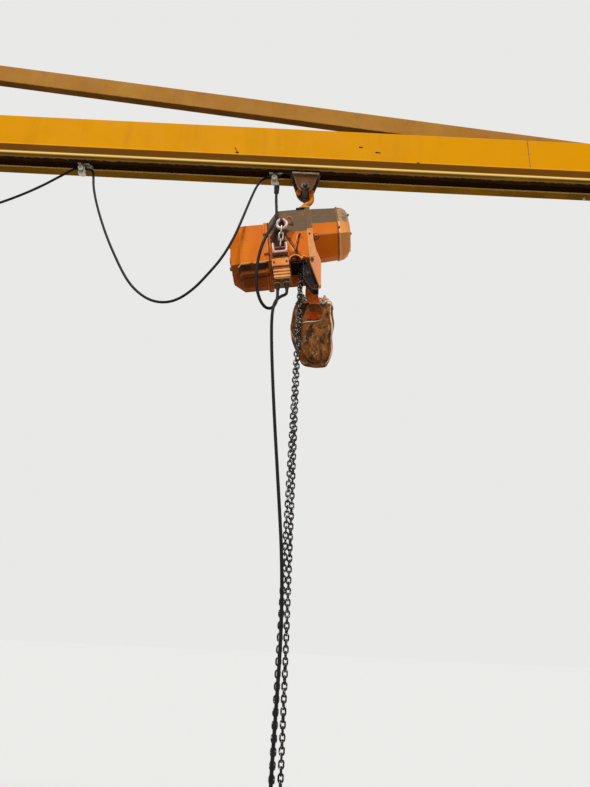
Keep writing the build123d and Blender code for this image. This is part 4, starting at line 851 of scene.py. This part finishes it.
def cable(name, route, dia):
    """Mesh tube along a route, with the line that it follows."""
    mesh = mesh_of(name, route, dia)
    mesh.materials.clear()
    mesh.materials.append(MATERIALS["cable_grey"])
    for face in mesh.polygons:
        face.use_smooth = True
    line = mesh_of(name + "_line", route)
    path = [tuple(v.co) for v in line.vertices]
    bpy.data.meshes.remove(line)
    return add_object(name, mesh), path


def hang_cables():
    """The four cables: two stay where they are in the frame, and two ride on the hoist."""
    for name, solid, route, dia, length, far_end, ends in (
        ("inner_festoon", "inner_festoon_cable", INNER_FESTOON, 0.012, 1.87, "object",
         ("jib", "cable_carrier_1", (0.574, 0, 3.7), (2.250, 0, 3.7))),
        ("outer_festoon", "outer_festoon_cable", OUTER_FESTOON, 0.012, 2.11, "object",
         ("jib", "hoist_trolley", (0.945, 0, 3.7), (3.245, 0, 3.7))),
        ("power_drop", "power_cable", POWER_DROP, 0.014, 1.06, "object", None),
        ("pendant_drop", "pendant_cable", PENDANT_RUN, 0.014, 2.10, "fitting", None),
    ):
        made, path = cable(name, route, dia)
        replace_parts(made, solid)
        if ends:
            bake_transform(made)
        else:
            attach(made, "hoist")


# Faces and centres of the hoist, in its own frame: x towards the motor, y away from the camera, z up
SEAM_X = -0.216
COVER_END_X = -0.385
COVER_AXLE_Z = -0.375
CASTING_Y = -0.1295
EAR_Y = -0.1395
GUIDE_Y = -0.1085
BOW_Y = -0.1645
EYE_X = -0.128
EYE_Z = -0.271
RING_AT = (EYE_X, -0.149, -0.291)
RING_R = 0.0235
RING_BAR = 0.0074
CAP_END_X = 0.1955
RIM_X = 0.141
GLANDS_X = (-0.172, -0.130)
GLAND_Y = -0.118
COVER_SCREWS = (
    (-0.139, -0.330), (-0.139, -0.440), (-0.084, -0.512), (0.076, -0.512), (0.129, -0.300), (0.129, -0.375),
    (0.129, -0.450), (-0.052, -0.243), (0.050, -0.243),
)
MOUTH_ARCH = (
    (-0.108, -0.131, -0.484), (-0.099, -0.134, -0.470), (-0.080, -0.135, -0.462), (-0.062, -0.134, -0.468),
    (-0.050, -0.131, -0.482),
)
MOUTH_CURL = ((-0.052, -0.128, -0.480), (-0.040, -0.129, -0.468), (-0.026, -0.130, -0.474))
EYE_CLIP = (
    (-0.137, -0.086, -0.268), (-0.139, -0.118, -0.252), (-0.133, -0.124, -0.236), (-0.122, -0.124, -0.238),
    (-0.116, -0.122, -0.251), (-0.108, -0.122, -0.250), (-0.098, -0.122, -0.236), (-0.086, -0.122, -0.236),
    (-0.078, -0.120, -0.250), (-0.079, -0.112, -0.268), (-0.084, -0.086, -0.276),
)
BOW_EDGE = (
    (-0.1775, -0.404), (-0.1775, -0.438), (-0.1745, -0.4485), (-0.1660, -0.4525),
    (-0.1260, -0.4525), (-0.1175, -0.4485), (-0.1145, -0.438), (-0.1145, -0.404),
)
GUIDE_EDGE = (
    (-0.044, -0.486), (-0.049, -0.575), (-0.014, -0.634), (0.012, -0.638), (0.016, -0.613), (-0.013, -0.486),
)


def cover_details():
    """Screw bosses round the cover's seam, and the bearing boss with its plugs on the left end."""
    bosses, screws = Shape(HUNG), Shape(HUNG)
    for y, z in COVER_SCREWS:
        bosses.turned((SEAM_X, y, z), RIGHT, [(0, 0.0060), (0.002, 0.0072), (0.020, 0.0072)], 20)
        screws.hex_bolt((SEAM_X, y, z), LEFT, 0.009, 0.004)
    rim = [(-0.004, 0.062), (0.007, 0.060), (0.009, 0.050), (0.004, 0.046)]
    hub = [(-0.004, 0.024), (0.012, 0.024), (0.014, 0.020)]
    bosses.turned((COVER_END_X + 0.002, 0.0, COVER_AXLE_Z), LEFT, rim, 40)
    bosses.turned((COVER_END_X, 0.0, COVER_AXLE_Z), LEFT, hub, 30)
    for c, s in circle(6, math.pi / 6):
        screws.hex_bolt((COVER_END_X, 0.074 * c, COVER_AXLE_Z + 0.074 * s), LEFT, 0.010, 0.005)
    screws.hex_bolt((COVER_END_X, -0.050, -0.448), LEFT, 0.019, 0.008)
    bosses.piece("cover_bosses", "hoist_orange", bevel=0.0006)
    screws.piece("cover_screws", "dark_bolt", bevel=0.0003)


def casting_details():
    """Bolts, the worn arch at the chain's mouth, and the ring with its clip and pin."""
    dark = Shape(HUNG)
    dark.cap_screw((-0.0385, CASTING_Y, -0.362), FRONT, 0.009, 0.0015)
    dark.cap_screw((-0.186, CASTING_Y, -0.345), FRONT, 0.010, 0.003)
    dark.hex_bolt((-0.002, EAR_Y, -0.494), FRONT, 0.013, 0.007)
    dark.hex_bolt((-0.002, EAR_Y, -0.352), FRONT, 0.008, 0.003)
    dark.piece("casting_bolts", "dark_bolt", bevel=0.0003)
    lip = Shape(HUNG)
    lip.tube(smooth_line(MOUTH_ARCH, 6), 0.0062)
    lip.tube(smooth_line(MOUTH_CURL, 5), 0.0050)
    lip.piece("mouth_lip", "gland_orange", sharp=60)
    throat = Shape(HUNG).box(-0.103, -0.033, -0.112, -0.006, -0.486, -0.4765)
    throat.piece("mouth_plate", "guide_black", bevel=0.001)
    Shape(HUNG).tube(smooth_line(EYE_CLIP, 6), 0.0052).piece("eye_clip", "bow_steel", sharp=60)
    x, y, z = RING_AT
    line = [(x + RING_R * c, y, z + RING_R * s) for c, s in circle(40)]
    ring = Shape(HUNG).tube(line, RING_BAR, 12, closed=True)
    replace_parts(ring.piece("eye_ring", "worn_steel", sharp=70), "safety_ring")
    pin = Shape(HUNG)
    pin.turned((EYE_X, -0.090, EYE_Z), FRONT, [(0, 0.011), (0.046, 0.011), (0.048, 0.009)])
    pin.turned((EYE_X, -0.136, EYE_Z), FRONT, [(0, 0.0065), (0.024, 0.0065), (0.026, 0.0045)], 20)
    pin.piece("eye_pin", "dark_bolt", bevel=0.0004)
    Shape(HUNG).tube([(x, BOW_Y, z) for x, z in BOW_EDGE], 0.0036).piece("bow_edge", "worn_steel", sharp=60)
    pad = Shape(HUNG)
    pad.box(-0.054, -0.006, -0.057, -0.030, -0.1385, -0.1325)
    pad.box(-0.044, -0.016, -0.0226, 0.0226, -0.1300, -0.1240)
    pad.piece("lug_pad", "dark_bolt", bevel=0.001)


def motor_details():
    """Plug in the lower facet, clips on the rim, and screws and cover in the end cap."""
    plug = [(-0.003, 0.0105), (0.002, 0.0105), (0.003, 0.008), (0.0005, 0.007)]
    Shape(HUNG).turned(PLUG_PLACE, PLUG_WAY, plug, 26).piece("motor_plug", "gland_orange", bevel=0.0003)
    screws = Shape(HUNG)
    for y, z in ((-0.055, -0.205), (0.055, -0.205), (-0.070, -0.325), (0.070, -0.325)):
        screws.cap_screw((CAP_END_X, y, z), RIGHT, 0.012, 0.006)
    for y, way in ((-0.121, FRONT), (0.121, BACK)):
        screws.hex_bolt((RIM_X, y, -0.318), way, 0.009, 0.004)
    screws.piece("motor_screws", "dark_bolt", bevel=0.0003)
    cover = [(-0.002, 0.040), (0.003, 0.040), (0.004, 0.034), (0.001, 0.032)]
    cover = Shape(HUNG).turned((0.194, 0.0, -0.268), RIGHT, cover, 36)
    cover.piece("cap_cover", "hoist_orange", bevel=0.0005)


def gland_details():
    """Nuts and ribbed boots where the two cables come out, and the screws and seams of the boss."""
    nuts, boots = Shape(HUNG), Shape(HUNG)
    for x in GLANDS_X:
        nuts.turned((x, GLAND_Y, -0.584), DOWN, [(0, 0.0185), (0.009, 0.0185), (0.010, 0.0172)], 6, 0.2)
        boots.turned((x, GLAND_Y, -0.596), DOWN, [
            (-0.002, 0.0132), (0.004, 0.0136), (0.006, 0.0118), (0.010, 0.0124), (0.013, 0.0106),
            (0.017, 0.0112), (0.020, 0.0096), (0.024, 0.0101), (0.027, 0.0088), (0.031, 0.0086),
            (0.032, 0.0074),
        ])
    nuts.piece("gland_nuts", "dark_bolt", bevel=0.0004)
    boots.piece("gland_boots", "buffer_rubber", sharp=50)
    screws = Shape(HUNG)
    for x in (-0.178, -0.120):
        screws.cap_screw((x, -0.1525, -0.500), FRONT, 0.009, 0.004)
    screws.piece("boss_screws", "dark_bolt", bevel=0.0003)
    seam = Shape(HUNG)
    seam.box(-0.1895, -0.1085, -0.1545, -0.100, -0.4785, -0.4745)
    seam.box(-0.1890, -0.1090, -0.1540, -0.100, -0.5235, -0.5185)
    seam.piece("boss_seams", "dark_bolt", bevel=0.0008)


def guide_details():
    """Roller, bolts and rolled edge of the chain guide."""
    wheel = [(-0.002, 0.015), (0.004, 0.015), (0.006, 0.012), (0.006, 0.006), (0.009, 0.005)]
    roller = Shape(HUNG).turned((-0.030, GUIDE_Y, -0.552), FRONT, wheel, 30)
    roller.hex_bolt((0.003, GUIDE_Y, -0.622), FRONT, 0.013, 0.006)
    roller.hex_bolt((-0.020, GUIDE_Y, -0.500), FRONT, 0.010, 0.005)
    roller.tube([(x, -0.111, z) for x, z in GUIDE_EDGE], 0.0026, 8)
    roller.piece("guide_roller", "guide_black", sharp=45)


def strain_links():
    """Round-bar links that hang from the ring to the bow."""
    eye = HUNG @ Vector(RING_AT)
    pitch, bar, width, slack = 0.0372, 0.0084, 0.027, 0.0004
    first = RING_R - RING_BAR - slack + pitch / 2
    links = Shape()
    for i in range(3):
        side = Vector(RIGHT if i % 2 else BACK)
        centre = Vector((eye.x, eye.y, eye.z - first - i * (pitch - slack)))
        chain_link(links, centre, Vector(UP), side, pitch, bar, width, 10, 14)
    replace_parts(links.piece("strain_links", "zinc_steel", sharp=70), "strain_chain")


CLAMP_Z = 3.781
CARRIERS = (("tow", 3.260, "hoist_trolley"), ("first", 2.265, "cable_carrier_1"))


def trolley_details():
    """Bolts, nut and pin lock of the fork, the power cable's boot, and the carriers' clamps."""
    x, _, z = PIN_PLACE
    bolts = Shape()
    for dx in (-0.048, 0.048):
        for y in (-0.028, 0.028):
            bolts.hex_bolt((x + dx, y, 3.7945), DOWN, 0.013, 0.007)
    bolts.turned((x, -0.055, z), FRONT, [(0, 0.0115), (0.008, 0.0115), (0.010, 0.0095), (0.011, 0.004)])
    bolts.tube([(x - 0.010, -0.0605, z + 0.012), (x, -0.0605, z), (x + 0.011, -0.0605, z - 0.012)], 0.0016, 8)
    bolts.piece("fork_bolts", "dark_bolt", "hoist_trolley", bevel=0.0004)
    lip = Shape().box(x - 0.069, x + 0.069, -0.0492, -0.0465, 3.7930, 3.8010)
    lip.piece("fork_lip", "worn_steel", "hoist_trolley", bevel=0.0008)
    boot = Shape().turned((3.275, 0, 3.7425), DOWN, [
        (0.001, 0.0118), (0, 0.0136), (0.004, 0.0140), (0.006, 0.0132), (0.014, 0.0138), (0.016, 0.0130),
        (0.024, 0.0136), (0.026, 0.0128), (0.040, 0.0128), (0.042, 0.0122), (0.040, 0.0116), (0.001, 0.0116),
    ], 28)
    boot.piece("drop_boot", "buffer_rubber", "hoist_trolley", sharp=50)
    wheel = [(0, 0.0105), (0.002, 0.0130), (0.010, 0.0130), (0.0115, 0.0110)]
    for name, x, body in CARRIERS:
        parts, rollers = Shape(), Shape()
        for side in (-1, 1):
            way = (0, side, 0)
            parts.hex_bolt((x, side * 0.0300, CLAMP_Z), way, 0.010, 0.004)
            parts.turned((x, side * 0.0170, CLAMP_Z), way, [(-0.003, 0.006), (0.002, 0.006)], 16)
            rollers.turned((x, side * 0.0185, CLAMP_Z), way, wheel, 28)
        parts.box(x - 0.010, x + 0.010, -0.0138, 0.0138, 3.8010, 3.8035)
        parts.turned((x, 0, 3.8035), UP, [(0, 0.0040), (0.003, 0.0040)], 16)
        parts.piece(name + "_carrier_bolts", "zinc_steel", body, bevel=0.0003)
        rollers.piece(name + "_guide_rollers", "cream_nylon", body, sharp=50)


BRACKET_LOOP = (
    (3.452, -0.006, 3.096), (3.448, -0.012, 3.082), (3.458, -0.015, 3.070), (3.470, -0.012, 3.080),
    (3.468, -0.006, 3.096),
)


def bracket_details():
    """Bolts and wire loop between the casting, the strap and the bag's bar."""
    metal = Shape()
    metal.hex_bolt((3.464, -0.0022, 3.172), FRONT, 0.013, 0.007)
    metal.turned((3.470, -0.0060, 3.140), FRONT, [(0, 0.009), (0.0035, 0.009), (0.0055, 0.006)])
    for x in (3.440, 3.478, 3.530):
        metal.turned((x, 0, 3.0925), DOWN, [(0, 0.008), (0.003, 0.008), (0.004, 0.006)], 6)
    metal.tube(smooth_line(BRACKET_LOOP, 6), 0.0035)
    metal.piece("bracket_bolts", "worn_steel", bevel=0.0003)


BLOCK = Matrix.Translation((TROLLEY_X, -0.0475, 0))
BLOCK_TURN = Matrix.Rotation(math.atan2(0.014, 0.0175), 4, "Z")


def latch_shape():
    """Spring latch of the hook: two cheeks, a web between them and a pin."""
    latch = Shape(BLOCK)
    base = Vector((0.0115, 0, 0.7705))
    tip = Vector((-0.0195, 0, 0.7415))
    along = (tip - base).normalized()
    over = along.cross(Vector(BACK))
    start = base + along * 0.0165
    cheek = (
        base - along * 0.007 + over * 0.005, base - along * 0.007 - over * 0.005, base - over * 0.008,
        tip - over * 0.0035, tip + over * 0.0035, base + over * 0.008,
    )
    web = (start + over * 0.0050, start + over * 0.0030, tip + over * 0.0014, tip + over * 0.0034)
    for outline, y0, y1 in ((cheek, -0.0153, -0.0133), (cheek, 0.0133, 0.0153), (web, -0.0145, 0.0145)):
        latch.rings([[(q.x, y, q.z) for q in outline] for y in (y0, y1)])
    pin = [(0, 0.003), (0.001, 0.0044), (0.0346, 0.0044), (0.0356, 0.003)]
    return latch.turned((base.x, -0.0178, base.z), BACK, pin, 16)


def block_details():
    """Bolts and axle caps of the hook block, the swivel collar, and the hook's latch."""
    screws = Shape(BLOCK @ BLOCK_TURN)
    for side in (-1, 1):
        way = (0, side, 0)
        for x, z in ((-0.034, 0.925), (0.034, 0.925), (-0.036, 0.852), (0.036, 0.852)):
            screws.hex_bolt((x, side * 0.0418, z), way, 0.011, 0.006)
        screws.turned((0, side * 0.0475, 0.880), way, [(0, 0.0105), (0.004, 0.0105), (0.005, 0.009)])
    screws.piece("block_bolts", "dark_bolt", bevel=0.0004)
    neck = [(0, 0.024), (0.010, 0.024), (0.013, 0.021), (0.018, 0.021), (0.020, 0.0175)]
    collar = Shape(BLOCK).turned((0, 0, 0.818), DOWN, neck, 32)
    collar.turned((0, 0, 0.800), DOWN, [(0, 0.0155), (0.004, 0.0165), (0.008, 0.0155)], 32)
    collar.piece("hook_collar", "dark_bolt", bevel=0.0005)
    latch_shape().piece("hook_latch", "zinc_steel", bevel=0.0003)


PENDANT_X = 3.403
PENDANT_Y = -0.165
PENDANT_FACE = PENDANT_Y - 0.0275
BUTTON_FACE = PENDANT_Y - 0.0395
BUTTONS_Z = (0.978, 0.936, 0.894)
ARROW_UP = ((-0.006, -0.004), (0.006, -0.004), (0.0, 0.006))
ARROW_DOWN = ((-0.006, 0.004), (0.0, -0.006), (0.006, 0.004))


def pendant_details():
    """Boot, button collars and arrows, stop button and screws of the pendant control."""
    x = PENDANT_X
    boot = Shape().turned((x, PENDANT_Y, 1.012), UP, [
        (0, 0.0195), (0.006, 0.0185), (0.009, 0.0160), (0.013, 0.0168), (0.016, 0.0142), (0.020, 0.0150),
        (0.023, 0.0126), (0.027, 0.0132), (0.030, 0.0110), (0.036, 0.0098), (0.048, 0.0088),
    ], 28)
    boot.piece("pendant_boot", "buffer_rubber", sharp=50)
    collar = [(-0.002, 0.0175), (0.004, 0.0175), (0.006, 0.0155), (0.006, 0.0135)]
    collars = Shape()
    for z in BUTTONS_Z:
        collars.turned((x, PENDANT_FACE, z), FRONT, collar, 32)
    collars.piece("button_collars", "box_grey", bevel=0.0004)
    marks = Shape()
    for z, arrow in zip(BUTTONS_Z[1:], (ARROW_UP, ARROW_DOWN)):
        marks.rings([[(x + a, y, z + b) for a, b in arrow] for y in (BUTTON_FACE - 0.001, BUTTON_FACE)])
    marks.piece("button_marks", "pale_tape")
    stop = Shape().turned((x, BUTTON_FACE, BUTTONS_Z[0]), FRONT, [
        (0, 0.0110), (0.004, 0.0115), (0.006, 0.0155), (0.010, 0.0150), (0.013, 0.011), (0.0142, 0.004),
    ], 32)
    stop.piece("stop_button", "button_red", sharp=50)
    screws = Shape()
    for z in (1.006, 0.864):
        for dx in (-0.023, 0.023):
            screws.cap_screw((x + dx, PENDANT_FACE, z), FRONT, 0.006, 0.0015)
    screws.piece("pendant_screws", "zinc_steel")


def bead(shape, points, size, seed):
    """Weld bead: a rippled bar along a line of corners."""
    rng = random.Random(seed)
    step, ripple = 0.006, 0.10
    points = [Vector(p) for p in points]
    line = []
    for a, b in zip(points, points[1:]):
        steps = max(2, int((b - a).length / step))
        line += [a.lerp(b, i / steps) for i in range(steps)]
    line.append(points[-1])
    radii = [size * (1 + ripple * math.sin(1.9 * i) + rng.uniform(-ripple, ripple)) for i in range(len(line))]
    shape.tube(line, radii, 8)


PIVOT_X = 0.320
PILLAR_HALF = 0.120
LOWER_BRACKET = (3.370, 3.560)
UPPER_BRACKET = (4.700, 4.890)


def pillar_details():
    """Weld beads of the pillar and its brackets, and the grease nipples."""
    h = PILLAR_HALF
    corners = [(-h, -h), (h, -h), (h, h), (-h, h), (-h, -h)]
    welds = Shape()
    bead(welds, [(x, y, 0.026) for x, y in corners], 0.005, 1)
    gusset = ((h, 0.244), (h, 0.026), (0.258, 0.026))
    for turn in range(4):
        rot = Matrix.Rotation(math.pi / 2 * turn, 4, "Z")
        for y in (-0.0765, -0.0635, 0.0635, 0.0765):
            bead(welds, [rot @ Vector((x, y, z)) for x, z in gusset], 0.0035, turn)
    for (z0, z1), low, high in ((LOWER_BRACKET, 0.012, 0.026), (UPPER_BRACKET, 0.026, 0.012)):
        for y in (-0.085, 0.085):
            bead(welds, [(h + 0.001, y, z0), (h + 0.001, y, z1)], 0.004, 5)
        for y in (-0.052, -0.038, 0.038, 0.052):
            bead(welds, [(0.132, y, z0 + low), (0.132, y, z1 - high)], 0.003, 7)
    bead(welds, [(x, y, 4.899) for x, y in corners], 0.003, 9)
    welds.piece("pillar_welds", "tie_ochre", "pillar", sharp=60)
    nipple = [(0, 0.005), (0.004, 0.005), (0.005, 0.003), (0.010, 0.003), (0.012, 0.0022)]
    nipples = Shape()
    for z in (3.5475, 4.7125):
        nipples.turned((PIVOT_X, -0.084, z), FRONT, nipple, 12)
    nipples.piece("grease_nipples", "zinc_steel", "pillar")


def arm_details():
    """Weld beads at the arm's root and under the tie, and the nuts of the root plate and the pivot."""
    welds = Shape()
    for y in (-0.060, 0.060):
        for z in (3.588, 4.672):
            bead(welds, [(PIVOT_X - 0.060, y, z), (PIVOT_X + 0.060, y, z)], 0.003, 11)
    bead(welds, [(0.395, -0.0425, 4.088), (0.395, 0.0425, 4.088)], 0.0035, 12)
    for side in (-1, 1):
        flank = ((0.0435, 4.080), (0.0435, 3.905), (0.078, 3.828), (0.078, 3.812))
        bead(welds, [(0.396, side * y, z) for y, z in flank], 0.0035, 13)
        bead(welds, [(0.381, side * 0.021, z) for z in (4.490, 4.612)], 0.003, 14)
        bead(welds, [(x, side * 0.021, 4.0905) for x in (4.140, 5.100)], 0.0032, 15)
    welds.piece("arm_welds", "tie_ochre", "jib", sharp=60)
    nuts = Shape()
    for z, way in ((3.5205, DOWN), (4.7395, UP)):
        nuts.turned((PIVOT_X, 0, z), way, [(-0.004, 0.034), (0.002, 0.034), (0.003, 0.030)], 36)
    for y in (-0.085, 0.085):
        for z in (3.800, 3.900, 4.000, 4.098):
            nuts.hex_bolt((0.3945, y, z), RIGHT, 0.018, 0.011)
    nuts.piece("pivot_nuts", "dark_bolt", "jib", bevel=0.0006)


def rail_details():
    """Splice line of the rail, screws of its end cap and of the terminal box, and the box's boot."""
    line = Shape()
    for y0, y1 in ((-0.0432, -0.0420), (0.0420, 0.0432)):
        line.box(4.578, 4.5815, y0, y1, 3.908, 4.086)
    line.piece("rail_splice", "dark_bolt", "jib")
    screws = Shape()
    for y, z in ((-0.030, 4.070), (0.030, 4.070), (-0.055, 3.826), (0.055, 3.826)):
        screws.hex_bolt((5.2255, y, z), RIGHT, 0.013, 0.008)
    for x in (0.452, 0.528):
        for z in (3.712, 3.782):
            screws.cap_screw((x, -0.0505, z), FRONT, 0.008, 0.003)
    for x in (0.705, 4.890):
        for y in (-0.055, 0.055):
            screws.hex_bolt((x, y, 3.8105), DOWN, 0.013, 0.007)
    screws.piece("rail_screws", "zinc_steel", "jib", bevel=0.0004)
    boot = Shape().turned((0.572, 0, 3.747), RIGHT, [
        (0, 0.0128), (0.004, 0.0122), (0.008, 0.0104), (0.012, 0.0110), (0.016, 0.0092), (0.021, 0.0096),
        (0.026, 0.0080), (0.034, 0.0072),
    ])
    boot.piece("box_boot", "buffer_rubber", "jib", sharp=50)


def make_camera():
    data = bpy.data.cameras.new("camera")
    data.sensor_width = SENSOR
    data.lens = SENSOR * FOCAL_PIXELS / IMAGE_HEIGHT
    data.clip_end = 200
    camera = add_object("camera", data)
    camera.matrix_world = (
        Matrix.Translation(CAMERA_PLACE)
        @ Matrix.Rotation(math.radians(90 + CAMERA_PITCH), 4, "X")
        @ Matrix.Rotation(math.radians(CAMERA_ROLL), 4, "Z")
    )
    bpy.context.scene.camera = camera


PALE = (233, 233, 231)
FLOOR_BOUNCE = (158, 154, 148)
FLOOR_HALF = 60.0
FLOOR_SHARE = 0.80
WORLD_FILL = 0.43
# Lights: name, way that it shines, strength, spread in degrees
SUNS = (("sun", (0.12, 0.62, -0.77), 2.9, 18), ("back_sun", (-0.42, -0.66, -0.62), 1.1, 40))


def make_floor():
    """Pale floor, darker as a source of bounced light than as it is seen."""
    mesh = bpy.data.meshes.new("floor")
    h = FLOOR_HALF
    mesh.from_pydata([(-h, -h, 0), (h, -h, 0), (h, h, 0), (-h, h, 0)], [], [(0, 1, 2, 3)])
    add_object("floor", mesh)
    s = Shader("floor_pale", PALE, 0.9, gloss=0.0)
    bounced = s.node("LightPath", "Is Diffuse Ray")
    seen = tuple(FLOOR_SHARE * c for c in rgb(*PALE)[:3]) + (1.0,)
    feed(s.bsdf, {"Base Color": s.mix(bounced, seen, rgb(*FLOOR_BOUNCE))})
    mesh.materials.append(s.material)


def make_stage():
    """Pale floor, pale surround and soft light."""
    scene = bpy.context.scene
    scene.view_settings.view_transform = "Standard"
    make_floor()
    world = bpy.data.worlds.new("studio")
    scene.world = world
    world.use_nodes = True
    tree = world.node_tree
    bounced = add_node(tree, "LightPath", "Is Diffuse Ray")
    level = add_node(tree, "MapRange", "Result", {"Value": bounced, "To Min": 1.0, "To Max": WORLD_FILL})
    feed(tree.nodes["Background"], {"Color": rgb(*PALE), "Strength": level})
    for name, way, strength, spread in SUNS:
        sun = bpy.data.lights.new(name, "SUN")
        sun.energy = strength
        sun.angle = math.radians(spread)
        lamp = add_object(name, sun)
        lamp.rotation_mode = "QUATERNION"
        lamp.rotation_quaternion = Vector(way).to_track_quat("-Z", "Y")


for step in (
    make_camera, dress_frame, hang_cables, make_chain,
    make_bag, make_patch, make_lashing, make_bag_hardware,
    cover_details, casting_details, motor_details, gland_details, guide_details, strain_links,
    trolley_details, bracket_details, block_details, pendant_details,
    pillar_details, arm_details, rail_details, make_stage,
):
    step()
